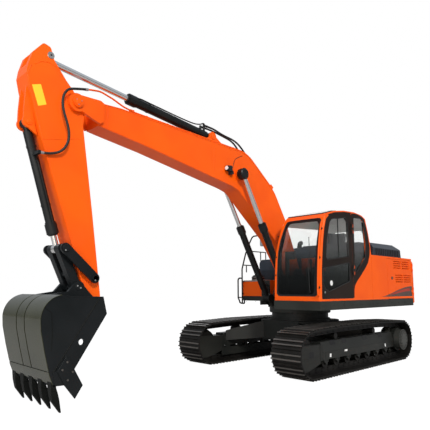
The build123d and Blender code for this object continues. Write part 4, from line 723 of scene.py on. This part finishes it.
# Tool box: side door with its latch, front plate, lip, cover over the pipes, guard at the tank
toolBox = dict(front=300.5, side=-1369)
piece("toolBoxDoor", "orangePaint", "house",
      [(prismY, roundBox(-250, 260, 1400, 1700, 24), toolBox["side"], toolBox["side"] - 5)], bevel=3)
piece("toolBoxLatch", "glossBlack", "house",
      [(prismY, roundBox(-20, 30, 1650, 1680, 8), toolBox["side"] - 4, toolBox["side"] - 13)], bevel=2)
piece("toolBoxFront", "orangePaint", "house",
      [(prismX, roundBox(-1330, -850, 1400, 1690, 20), toolBox["front"], toolBox["front"] + 3.5)], bevel=2)
piece("toolBoxLip", "boltSteel", "house", [(boxIn, 300.3, 305, -1368, -812, 1704, 1730)], bevel=2)
piece("pipeCover", "skirtDark", "house", [(boxIn, 300.3, 307, -808, -562, 1372, 1729)], bevel=2)
parts = []
for i, y in enumerate((-776, -726, -676, -626, -588)):
    top = 1700 - 22 * i
    parts += [(rod, (322, y, 1392), (322, y, top), 13), (rod, (322, y, top - 34), (322, y, top - 6), 18, 6)]
piece("coverPipes", "glossBlack", "house", parts, smooth=True)
piece("tankGuard", "hoodBlue", "house", [(boxIn, -329.5, -324, -1362, -420, 1734, 1985)], bevel=2)

# Step grating, skirt bolts and seams, bolts of the bearing's upper ring
piece("stepGrating", "frameBlack", "house",
      [(boxIn, x, x + 25, -1352, -1335, 1206, 1214) for x in range(325, 452, 42)], bevel=2)
places = [((x, hand * side, 1230), (0, hand, 0)) for hand in (1, -1) for x in range(-2550, 200, 340)]
places += [((x, side, 1230), (0, 1, 0)) for x in (560, 900, 1240)]
boltSet("skirtBolts", places, 9, 4, "frameBlack", "house")
piece("skirtSeams", "interiorDark", "house",
      [(boxIn, x - 3, x + 3, side - 1, side + 1.5, 1165, 1310) for x in (-1380, -640, 520)])
boltSet("bearingBoltsUpper", [((*onCircle((0, 0), 625, t), 1041), (0, 0, -1)) for t in turns(36)], 14, 14,
        "frameBlack", "house")
print("house done")

# Undercarriage trim: the chain's path first, then its links, bolts and worn crests
track = dict(y=1195, axle=1798.5, axleZ=424, pin=317, bottom=107, rise=34, carrier=760, shoes=48,
             crest=107.6, lowCrest=106.6, grousers=(0, 84), half=299)
axle, axleZ = track["axle"], track["axleZ"]
topZ = axleZ + track["pin"]


def chainPath():
    arc = [math.pi * i / 200 for i in range(200)]
    pts = [(-axle + i * 2 * axle / 400, track["bottom"]) for i in range(400)]
    pts += [(axle + track["pin"] * math.sin(t), axleZ - track["pin"] * math.cos(t)) for t in arc]
    line = [(axle, topZ), (track["carrier"], topZ + track["rise"]), (-track["carrier"], topZ + track["rise"]),
            (-axle, topZ)]
    for a, b in zip(line, line[1:]):
        pts += [(a[0] + (b[0] - a[0]) * i / 120, a[1] + (b[1] - a[1]) * i / 120) for i in range(120)]
    pts += [(-axle - track["pin"] * math.sin(t), topZ - track["pin"] * (1 - math.cos(t))) for t in arc]
    return pts


path = chainPath()
lengths = [0]
for a, b in zip(path, path[1:] + path[:1]):
    lengths.append(lengths[-1] + math.dist(a, b))


def chainAt(share):
    want = (share % 1) * lengths[-1]
    for i in range(len(path)):
        if lengths[i + 1] >= want:
            a, b = path[i], path[(i + 1) % len(path)]
            t = (want - lengths[i]) / (lengths[i + 1] - lengths[i])
            return Vector((a[0] + (b[0] - a[0]) * t, a[1] + (b[1] - a[1]) * t))


pins = [chainAt(i / track["shoes"]) for i in range(track["shoes"])]
drive = dict(face=269, cover=281, rim=(219, 208), cap=120, plugs=60, outerBolts=190, innerBolts=145)
beam = dict(rear=-1560, front=1288, face=150, low=284, shoulder=408)
yoke = dict(face=168, reach=322, rear=1395)
rollers = [395 * (i - 3) for i in range(7)]
cover = [(yoke["rear"], 240), (1560, 190), (1800, 136)]
cover += [onCircle((axle, axleZ), yoke["reach"], math.radians(d)) for d in range(-66, 30, 6)]
cover += [(2060, 577), (yoke["rear"], 556)]
slope = [(151, 413), (152.5, 420), (98, 592), (92, 592.5), (94, 589)]
# painted shadows: outline of the dark patches on the beam's top and slope
shadowPatch = [(58, 599.5), (99, 599.5), (123, 520), (119, 517), (95, 590), (58, 590)]
body = "undercarriage"
for hand, name in hands:
    y = hand * track["y"]
    bolts, links, crests = [], [], []
    for a, b in zip(pins, pins[1:] + pins[:1]):
        way = (b - a).normalized()
        out = Vector((way.y, -way.x))
        for share in (0.29, 0.71):
            p = a.lerp(b, share) + out * 82
            bolts += [((p.x, y + dy, p.y), (out.x, 0, out.y)) for dy in (-92, -58, 58, 92)]
        links.append((pinY, *a, y - 104, y + 104, 17, 10))
        k0, k1 = a - way * 18, b + way * 18
        waisted = [k0 + out * 30, k0 - out * 28, a.lerp(b, 0.3) - out * 44, a.lerp(b, 0.7) - out * 44,
                   k1 - out * 28, k1 + out * 30]
        for middle in [y + rail + face for rail in (-75, 75) for face in (-23.5, 23.5)]:
            links.append((prismY, waisted, middle - 2.5, middle + 2.5))
        crest = track["lowCrest"] if out.y < -0.5 else track["crest"]
        for start in track["grousers"]:
            bar = [a + way * (start + dx) + out * h
                   for dx, h in ((-1.2, 96), (23.2, 96), (23.2, crest), (-1.2, crest))]
            crests.append((prismY, bar, y - track["half"], y + track["half"]))
    boltSet("shoeBolts" + name, bolts, 11, 9, "trackSteel", body)
    piece("wornCrests" + name, "wornSteel", body, crests)
    piece("chainLinks" + name, "trackSteel", body, links)

    # Final drive: rim, cap, plugs and bolts; caps of the idler and the rollers
    drum, outer = y + hand * drive["face"], y + hand * drive["cover"]
    parts = [(ringY, -axle, axleZ, drum - hand * 6, drum + hand * 3, *drive["rim"], 48),
             (pinY, -axle, axleZ, outer - hand * 2, outer + hand * 5, drive["cap"], 40)]
    parts += [(pinY, *onCircle((-axle, axleZ), drive["plugs"], t), outer + hand * 3, outer + hand * 9, 14, 6)
              for t in (0.5, 2.6, 4.7)]
    piece("driveCover" + name, "beamGrey", body, parts, smooth=True)
    bolts = []
    for face, radius, count in ((drum, drive["outerBolts"], 20), (outer, drive["innerBolts"], 12)):
        ring = [onCircle((-axle, axleZ), radius, t) for t in turns(count)]
        bolts += [((x, face, z), (0, hand, 0)) for x, z in ring]
    caps = []
    for cheek in (1, -1):
        bolts += [((x + dx, y + cheek * 150, 262), (0, cheek, 0)) for x in rollers for dx in (-48, 48)]
        caps += [(pinY, axle, axleZ, y + cheek * 130, y + cheek * 146, 78, 32, 64),
                 (pinY, axle, axleZ, y + cheek * 144, y + cheek * 152, 30, 6)]
        caps += [(pinY, x, 230.6, y + cheek * 148, y + cheek * 157, 34, 20, 28) for x in rollers]
    boltSet("driveBolts" + name, bolts, 10, 8, "frameBlack", body)
    piece("axleCaps" + name, "frameBlack", body, caps, smooth=True)

    # Beam: side plate, slope above it, seams, plates on top
    face = y + hand * beam["face"]
    piece("beamSides" + name, "beamDark", body,
          [(boxIn, beam["rear"], beam["front"], face, face + hand * 2, beam["low"], beam["shoulder"])], bevel=1)
    piece("beamSlope" + name, "beamDark", body,
          [(prismX, [(y + hand * dy, z) for dy, z in slope], beam["rear"], 1286)])
    seams = [(boxIn, -1575, 1290, y + hand * 149, face + hand * 6, beam["shoulder"], 417)]
    seams += [(boxIn, x, x + 14, face, face + hand * 6, 290, beam["shoulder"]) for x in (1190, -1500)]
    piece("beamSeams" + name, "beamDark", body, seams, bevel=2)
    piece("beamPlates" + name, "frameBlack", body,
          [(boxIn, x - 95, x + 95, y - 70, y + 70, 589, 598) for x in (-1180, -260, 420, 960)], bevel=3)

    # Yoke covers with a port and seams, a dark plate along the inner side as painted shade, dark patches as
    # painted shadows on the beam, and tags of the beam
    for cheek in (1, -1):
        piece("yokeCover" + name + ("Out" if cheek == hand else "In"), "beamDark", body,
              [(prismY, cover, y + cheek * 158, y + cheek * yoke["face"])], bevel=3)
    face = y + hand * yoke["face"]
    piece("yokePort" + name, "interiorDark", body,
          [(prismY, roundBox(1612, 1752, 362, 456, 14), face - hand, face + hand)])
    piece("yokeSeams" + name, "beamDark", body, [
        (prismY, [(1400, 342), (2090, 342), (2092, 352), (1400, 352)], face - hand, face + hand * 4),
        (prismY, [(1395, 236), (1409, 232), (1409, 566), (1395, 560)], y + hand * 150, face + hand * 6),
        (prismY, [(1395, 556), (2070, 578), (2066, 588), (1395, 567)], y + hand * 150, face + hand * 4)],
        bevel=2)
    # painted shade: a dark plate and ribs along the inner side, filling the shade under the frame between the
    # rollers
    shadePlates = [(boxIn, -1400, 1395, y - hand * 160, y - hand * 170, 138, 300)]
    shadePlates += [(boxIn, x - 26, x + 26, y - hand * 148, y - hand * 162, 180, 420)
              for x in range(-1200, 1201, 600)]
    piece("innerShadePlate" + name, "frameBlack", body, shadePlates, bevel=3)
    # painted shadows: thin dark patches on the beam's top
    piece("beamShadowPatches" + name, "interiorDark", body,
          [(prismX, [(y + hand * dy, z) for dy, z in shadowPatch], x - 85, x + 85) for x in (900, 484, -332, -1002)])
    tags = ((1041, 345, 26, 30), (490, 385, 52, 17), (-1154, 345, 26, 30))
    piece("beamTags" + name, "whitePlastic", body,
          [(boxIn, x - w, x + w, y + hand * 151, y + hand * 153.5, z - h, z + h)
           for x, z, w, h in tags], bevel=1)
parts = []
for sx in (1, -1):
    for sy in (1, -1):
        for step in range(3):
            x, y, z = sx * (560 + step * 150), sy * (470 + step * 190), 868 - step * 66
            parts.append((rod, (x, y, z - 20), (x, y, z + 6), 16, 6))
piece("legBolts", "frameBlack", body, parts)
ring = [onCircle((0, 0), 575, t) for t in turns(30)]
piece("bearingBoltsLower", "frameBlack", body, [(rod, (*p, 918), (*p, 932), 15, 6) for p in ring])
print("undercarriage done")

# Boom: pin caps with bolts, weld beads, rims round the rod pin, pipe clamps, work light
boom = dict(tip=(5585, 4130), base=(2770, 4327), rodPin=(2160, 3690), web=175,
            capThick=10, boltCircle=44, boltTurns=(0.6, 2.7, 4.8))


def pinCap(x, z, y, hand, radius):
    thick = boom["capThick"]
    return [(pinY, x, z, y, y + hand * thick, radius, 32),
            (pinY, x, z, y + hand * (thick - 1), y + hand * (thick + 6), radius * 0.62, 32, radius * 0.5)]


parts, bolts, rims = [], [], []
for hand, name in hands:
    parts += pinCap(*boom["tip"], hand * 249, hand, 60) + pinCap(*boom["base"], hand * 96, hand, 52)
    for x, z in [onCircle(boom["tip"], boom["boltCircle"], t) for t in boom["boltTurns"]]:
        bolts.append(((x, hand * 259, z), (0, hand, 0)))
    rims.append((ringY, *boom["rodPin"], hand * 205, hand * 209, 108, 60, 40))
piece("boomPinCaps", "orangePaint", "boom", parts, smooth=True)
boltSet("boomPinBolts", bolts, 8, 6, "boltSteel", "boom")
boomWelds = {
    "boomLowerWeld": (0, 5, [(5190, 3912), (5065, 3888), (4281, 3781), (2600, 3492), (2350, 3448), (2200, 3410),
                             (2060, 3340), (1900, 3220), (1104, 2563), (480, 1770)]),
    "boomUpperWeld": (0, 5, [(5190, 4232), (4823, 4249), (3400, 4199), (2120, 4153), (2000, 4140), (1860, 4098),
                             (1724, 4010), (1159, 3585), (1070, 3508), (980, 3390), (720, 2970), (240, 1930)]),
    "boomCastingWeld": (1, 6, [(5070, z) for z in (4246, 4100, 3960, 3892)]),
    "boomMidWeld": (1, 4, [(2830, z) for z in (4175, 4000, 3800, 3540)]),
    "boomFootWeld": (1, 5, [(560, 2560), (700, 2440), (860, 2290)]),
}
for hand, name in hands:
    for weld, (out, radius, points) in boomWelds.items():
        beadY(weld + name, hand * (boom["web"] + out), points, radius, "orangePaint", "boom")
piece("rodPinRims", "orangePaint", "boom", rims, smooth=True)
pipe = dict(clamps=(2275, 2669, 3397, 3900, 4334), start=(1900, 4181), rise=0.03524, ys=(112, 152))
parts = []
for x in pipe["clamps"]:
    z = pipe["start"][1] + (x - pipe["start"][0]) * pipe["rise"]
    parts += [(ringRod, (x - 14, y, z), (x + 14, y, z), 18, 13.2, 20) for y in pipe["ys"]]
    parts.append((boxIn, x - 14, x + 14, 124, 140, z - 8, z + 10))
piece("pipeClamps", "orangePaint", "boom", parts, smooth=True)
nut, way = Vector((5470, 240.3, 4345.5)), Vector((90, 3, -21)).normalized()
piece("pipeNut", "boltSteel", "boom", [(rod, nut - way * 30, nut + way * 18, 21, 6)])
piece("workLightLens", "whitePlastic", "boom", [(rod, (2545, 235, 3745), (2562, 235, 3746), 34, 24, 38)],
      smooth=True)
wire("workLightWire", [(2397, 178, 3710), (2350, 180, 3770), (2319, 179, 3828), (2278, 179, 3968),
                       (2160, 179, 4040), (2051, 179, 4086)], 5, "rubberBlack", "boom")

# Arm: pin caps, silver heads at the horn, weld beads, blank sign
arm = dict(cylinderPin=(6219, 3721), hornPin=(5979, 4700), web=168)
parts, heads, bolts = [], [], []
for hand, name in hands:
    parts += pinCap(*arm["cylinderPin"], hand * 108, hand, 46)
    heads.append((pinY, *arm["hornPin"], hand * 166, hand * 177, 52, 32, 46))
    bolts.append(((arm["hornPin"][0], hand * 176, arm["hornPin"][1]), (0, hand, 0)))
piece("armPinCaps", "orangePaint", "arm", parts, smooth=True)
piece("hornPinHeads", "boltSteel", "arm", heads, smooth=True)
boltSet("armPinBolts", bolts, 13, 5, "glossBlack", "arm")
armWelds = {
    "armFrontWeld": (5, [(6245, 4470), (6290, 4352), (6252, 4180), (6068, 3557), (5698, 2522), (5522, 2013),
                         (5430, 1700)]),
    "armRearWeld": (5, [(5480, 4050), (5482, 3824), (5292, 2570), (5140, 1480)]),
    "armSeam": (4, [(5478, 3640), (5800, 3560), (6050, 3500)]),
    "hornWeld": (5, [(5800, 4470), (5900, 4560), (6000, 4590), (6110, 4570), (6200, 4500)]),
}
for hand, name in hands:
    for weld, (radius, points) in armWelds.items():
        beadY(weld + name, hand * arm["web"], points, radius, "orangePaint", "arm")
sign = roundLoop([(6225, 4205), (6105, 4248), (6015, 3990), (6130, 3940)], 6)
piece("blankSign", "signYellow", "arm", [(prismY, sign, arm["web"] + 0.2, arm["web"] + 1.6)])

# Cylinders: gland heads and bands on the barrels; head is how far the gland stands out
cylinders = dict(
    boom=dict(base=(760, 1340), end=boom["rodPin"], ys=(282, -282), barrel=1690, radius=62, rod=42, head=20,
              body="boom_barrels"),
    arm=dict(base=boom["base"], end=(5987, 4700), ys=(0,), barrel=1850, radius=74, rod=48, head=16,
             body="arm_barrel"),
    bucket=dict(base=arm["cylinderPin"], end=(5712, 2074), ys=(0,), barrel=1520, radius=62, rod=40, head=20,
                body="bucket_barrel"),
)
gland = dict(length=150, collar=26, bands=(300, -420), bandWidth=26, bandRise=5, sunk=2, bolts=10)


def wayOf(c):
    foot = Vector(c["base"])
    return foot, (Vector(c["end"]) - foot).normalized()


for name, c in cylinders.items():
    base, way = wayOf(c)
    axis = Vector((way.x, 0, way.y))
    u, v = frameOf(axis)
    end, inner = c["barrel"], c["radius"] - gland["sunk"]
    neck = end - gland["length"]
    rings = [(end - 1, end + 16, c["radius"] - 6, c["rod"] + 2),
             (neck, end - 8, c["radius"] + c["head"], inner),
             (neck - gland["collar"], neck, c["radius"] + c["head"] / 2, inner)]
    for start in (gland["bands"][0], end + gland["bands"][1]):
        rings.append((start, start + gland["bandWidth"], c["radius"] + gland["bandRise"], inner))
    parts, bolts = [], []
    for foot in [Vector((base.x, y, base.y)) for y in c["ys"]]:
        parts += [(ringRod, foot + axis * t0, foot + axis * t1, big, small, 32) for t0, t1, big, small in rings]
        bolts += [(foot + axis * end + (u * math.cos(t) + v * math.sin(t)) * inner, axis)
                  for t in turns(gland["bolts"])]
    piece(name + "Glands", "glossBlack", c["body"], parts, smooth=True)
    boltSet(name + "GlandBolts", bolts, 7, 8, "glossBlack", c["body"])

# Black boots over the boom rods' eyes, each with a head on its outer side
boot = dict(radius=108, hole=62, inner=234, outer=330, head=16)
parts = []
for hand, name in hands:
    face, radius = hand * boot["outer"], boot["radius"]
    parts += [(ringY, *boom["rodPin"], hand * boot["inner"], face, radius, boot["hole"], 40),
              (pinY, *boom["rodPin"], face, face + hand * boot["head"], radius - 4, 40, radius - 26)]
piece("rodEyeBoots", "glossBlack", "boom_rods", parts, smooth=True)

# Hard pipes along the barrels
wire("armBarrelPipe", [(2966, 40, 4470), (2960, 62, 4520), (3010, 84, 4520), (3100, 92, 4470), (3300, 92, 4440),
                       (4300, 92, 4548), (4420, 88, 4565), (4470, 60, 4570)], 11, "glossBlack", "arm_barrel")
base, way = wayOf(cylinders["boom"])
out = Vector((way.y, -way.x))
points = [base + way * t + out * o for t, o in (
    (230, 60), (240, 82), (320, 88), (900, 88), (1480, 88), (1560, 84), (1590, 60))]
for hand, name in hands:
    wire("boomBarrelPipe" + name, [(p.x, hand * 282, p.y) for p in points], 10, "glossBlack", "boom_barrels")
base, way = wayOf(cylinders["bucket"])
points = [(base + way * t, y) for t, y in (
    (500, 55), (505, 78), (560, 84), (900, 84), (1320, 84), (1400, 80), (1425, 55))]
wire("bucketBarrelPipe", [(p.x, y, p.y) for p, y in points], 10, "glossBlack", "bucket_barrel")
piece("armHoseNut", "boltSteel", "bucket_barrel", [
    (rod, (6062, 200, 3310), (6088, 200, 3310), 21, 6), (rod, (6040, 200, 3310), (6064, 200, 3310), 19.5, 16)])

# Hoses on the routes of the source, with the lengths measured along them in metres
hoses = {
    "arm_hose": (1.5058, [(5490.4, 241, 4340.9), (5612, 245, 4312.6), (5790, 256, 4250), (5850, 256, 4020),
                          (5695, 256, 3645), (5760, 250, 3405), (5925, 200, 3312), (6085.7, 200, 3310)]),
    "cylinder_hose_near": (1.2304, [(2869.7, 45, 4500), (2720, 45, 4500), (2480, 58, 4428), (2130, 62, 4395),
                                    (1900, 56, 4270), (1740.3, 56, 4110.3)]),
    "cylinder_hose_far": (1.2516, [(2869.7, -45, 4500), (2700, -45, 4500), (2400, -60, 4472),
                                   (2060, -62, 4420), (1890, -56, 4260), (1740.3, -56, 4110.3)]),
}
for name, (length, route) in hoses.items():
    o = wire(name + "_look", route, 17.5, "rubberBlack", "boom")
    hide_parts(name)
    print(name, length)

# Bucket: plates round its back, lighter with a painted reflection, with painted shade in the seams between them,
# and along its lip
bucket = dict(arcCentre=(5877, 1167), arcRadius=290, half=590, cheek=588, plate=8, seam=1.5, lip=9,
              plates=((-590, -130), (-104, 116), (142, 590)), seams=((-131, -103), (115, 143)),
              pitch=265, teeth=5, pins=((5215, 1243), (5479, 1560)))
backLine = [onCircle(bucket["arcCentre"], bucket["arcRadius"], math.radians(d)) for d in range(84, -6, -6)]
backLine += [(6158, 1036), (6106, 795), (6046, 563)]


def backStrip(bm, line, y0, y1, rise, sink=3):
    loops = []
    for i, spot in enumerate(line):
        a, b = Vector(line[max(i - 1, 0)]), Vector(line[min(i + 1, len(line) - 1)])
        d = (b - a).normalized()
        n = Vector((-d.y, d.x))
        p, q = Vector(spot) - n * sink, Vector(spot) + n * rise
        loops.append([(p.x, y0, p.y), (q.x, y0, q.y), (q.x, y1, q.y), (p.x, y1, p.y)])
    loft(bm, loops)


half, cheek = bucket["half"], bucket["cheek"]
parts = [(backStrip, backLine, *ys, bucket["plate"]) for ys in bucket["plates"]]
parts.append((backStrip, [(6043, 552), (6035, 520), (5990, 410)], -half, half, bucket["lip"]))
# the back plates carry the painted reflection colour
piece("backPlates", "bucketPaintedReflection", "bucket", parts, smooth=True)
# painted shade: the seams between the back plates are dark steel for the shade in the gaps
piece("backSeamShade", "toothSteel", "bucket", [(backStrip, backLine, *ys, bucket["seam"]) for ys in bucket["seams"]],
      smooth=True)
corner = [(6000, 545), (5944, 551), (5830, 723), (5724, 557), (5851, 377), (5962, 380)]
cutter = [(5944, 551), (5838, 712), (5800, 700), (5716, 545), (5846, 375)]
parts = []
for hand, name in hands:
    parts += [(prismY, corner, hand * cheek, hand * (cheek + 9)),
              (prismY, cutter, hand * (cheek + 8), hand * (cheek + 23))]
piece("cornerPlates", "bucketBlack", "bucket", parts, bevel=2)

# Teeth, each from sections of a top point, a bottom point and half a width, with adapters and pins
sections = [((6010, 452), (5972, 440), 57), ((6008, 405), (5950, 385), 56), ((6002, 318), (5914, 300), 47),
            ((5980, 216), (5892, 236), 38), ((5974, 198), (5885, 220), 33), ((5920, 125), (5867, 135), 28),
            ((5862, 47), (5851, 55), 24)]
collar = roundLoop([(5995, 400), (5992, 330), (5950, 322), (5940, 352), (5950, 398)], 8)
rows = [bucket["pitch"] * (i - bucket["teeth"] // 2) for i in range(bucket["teeth"])]
parts = [(loft, [[(a[0], y - w, a[1]), (a[0], y + w, a[1]), (b[0], y + w, b[1]), (b[0], y - w, b[1])]
                 for a, b, w in sections]) for y in rows]
teeth = piece("bucketTeeth", "toothSteel", "bucket", parts, bevel=5)
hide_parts("bucket_teeth")
parts = []
for y in rows:
    parts += [(prismY, collar, y + h * 48, y + h * 60) for h in (1, -1)]
    parts.append((pinY, 5968, 362, y - 64, y + 64, 12, 12))
piece("toothAdapters", "toothSteel", "bucket", parts, bevel=2)

# Cutter bolts, welds, and the caps of the bucket's and the links' pins
bucketWelds = {
    "bucketSideWeld": (8, "toothSteel", [(5374, 1426), (5560, 1160), (5760, 870), (5990, 546)]),
    "bucketRimWeld": (4, "toothSteel", [(6122, 1311), (6035, 1249), (6017, 987), (6024, 800)]),
    "bucketTopWeld": (5, "bucketBlack", [(5352, 1418), (5757, 1436), (5850, 1449)]),
}
links = dict(pins=((5712, 2074, 282, 292, 50, 46), (5262, 1680, 267, 288, 52, 46)),
             bolts=((5728, 291, 2042), (5272, 287, 1650)))
cutterBolts, caps, earBolts, linkCaps, linkBolts = [], [], [], [], []
for hand, name in hands:
    across = (0, hand, 0)
    cutterBolts += [((x, hand * 610, z), across) for x, z in ((5824, 651), (5886, 564), (5749, 527), (5812, 437))]
    for weld, (radius, mat, points) in bucketWelds.items():
        beadY(weld + name, hand * half, points, radius, mat, "bucket")
    caps += [(pinY, x, z, hand * 223, hand * 230, 52, 32, 48) for x, z in bucket["pins"]]
    earBolts += [((5479 + dx, hand * 229, 1560 + dz), across) for dx, dz in ((26, 16), (-20, -12))]
    linkCaps += [(pinY, x, z, hand * y0, hand * y1, r0, 32, r1) for x, z, y0, y1, r0, r1 in links["pins"]]
    linkBolts += [((x, hand * y, z), across) for x, y, z in links["bolts"]]
boltSet("cutterBolts", cutterBolts, 13, 12, "wornSteel", "bucket")
piece("bucketPinCaps", "bucketBlack", "bucket", caps, smooth=True)
boltSet("earBolts", earBolts, 12, 3, "boltSteel", "bucket", 12)
piece("linkPinCaps", "bucketBlack", "side_links", linkCaps, smooth=True)
boltSet("linkPinBolts", linkBolts, 11, 5, "boltSteel", "side_links", 12)
print("bucket done")

# Floor and world: white to the camera and through the glass, plain grey light for the object
studio = dict(floorSize=80, floorDrop=-0.0015, floorDark=(0.46, 0.45, 0.44, 1), floorPale=(0.50, 0.49, 0.48, 1),
              floorWhite=1.2, floorShare=0.82, floorRough=0.9, skyStrength=0.62)


def seenShare(tree):
    rays = node(tree, "ShaderNodeLightPath").outputs
    return mathNode(tree, "MAXIMUM", rays["Is Camera Ray"], rays["Is Transmission Ray"])


def mixShaders(tree, share, a, b, output):
    mixer = node(tree, "ShaderNodeMixShader", {0: share, 1: a, 2: b})
    tree.links.new(mixer.outputs[0], tree.nodes[output].inputs["Surface"])


bpy.ops.mesh.primitive_plane_add(size=studio["floorSize"], location=(0, 0, studio["floorDrop"]))
floor = bpy.context.object
floor.name = "floor"
m, tree, shader = newMaterial("floorPale")
patches = noiseNode(tree, objectCoords(tree), 0.6)
feed(tree, shader["Base Color"], mixColor(tree, patches, studio["floorDark"], studio["floorPale"]))
shader["Roughness"].default_value = studio["floorRough"]
white = node(tree, "ShaderNodeEmission", {"Strength": studio["floorWhite"]})
share = mathNode(tree, "MULTIPLY", seenShare(tree), studio["floorShare"])
mixShaders(tree, share, tree.nodes["Principled BSDF"].outputs[0], white.outputs[0], "Material Output")
floor.data.materials.append(m)

skyStops = [(0.0, (0.20, 0.19, 0.17, 1)), (0.22, (0.30, 0.29, 0.27, 1)), (0.28, (0.42, 0.44, 0.46, 1)),
            (0.5, (0.80, 0.84, 0.90, 1)), (1.0, (0.80, 0.88, 1.0, 1))]
world = bpy.data.worlds.new("studio")
bpy.context.scene.world = world
world.use_nodes = True
tree = world.node_tree
rayHeight = zOf(tree, node(tree, "ShaderNodeTexCoord").outputs["Generated"])
back = tree.nodes["Background"]
feed(tree, back.inputs["Color"], colorRamp(tree, rampNode(tree, rayHeight, -0.3, 1.0), skyStops))
back.inputs["Strength"].default_value = studio["skyStrength"]
seen = node(tree, "ShaderNodeBackground", {"Strength": 1.0, "Color": (1, 1, 1, 1)})
mixShaders(tree, seenShare(tree), back.outputs[0], seen.outputs[0], "World Output")


def aimed(name, data, place, way):
    o = bpy.data.objects.new(name, data)
    o.location = place
    o.rotation_mode = "QUATERNION"
    o.rotation_quaternion = way.to_track_quat("-Z", "Y")
    bpy.context.scene.collection.objects.link(o)
    return o


def light(name, kind, energy, size, place, target, color=(1, 1, 1)):
    d = bpy.data.lights.new(name, kind)
    d.energy = energy
    d.color = color
    setattr(d, "size" if kind == "AREA" else "angle", size)
    aimed(name, d, place, Vector(target) - Vector(place))


light("sun", "SUN", 2.42, math.radians(10), (4.4, 9.6, 8), (0, 0, 1.5), (1.0, 0.97, 0.93))
light("softFront", "AREA", 500, 7, (12, 3, 5), (0, 0, 2.0))
light("lowFill", "AREA", 150, 4, (10, 9, 1.0), (0, 0, 3.5), (1.0, 0.82, 0.66))
light("softBack", "AREA", 260, 8, (-9, -10, 8), (0, 0, 2.0))

# Camera solved from the photograph: focal length and centre in pixels of its square frame
cameraValues = dict(frame=430, focal=459.26, centre=(199.246, 234.413), sensor=36,
                    place=(8601.5, 5864.9, 1535.6), yaw=-2.33048, pitch=0.117838)
v = cameraValues
data = bpy.data.cameras.new("camera")
data.sensor_width = v["sensor"]
data.lens = v["focal"] / v["frame"] * v["sensor"]
data.shift_x = (v["frame"] / 2 - v["centre"][0]) / v["frame"]
data.shift_y = (v["centre"][1] - v["frame"] / 2) / v["frame"]
data.clip_end = 200
aim = Vector((math.cos(v["pitch"]) * math.cos(v["yaw"]), math.cos(v["pitch"]) * math.sin(v["yaw"]),
              math.sin(v["pitch"])))
bpy.context.scene.camera = aimed("camera", data, pt(*v["place"]), aim)
bpy.context.scene.view_settings.view_transform = "Standard"
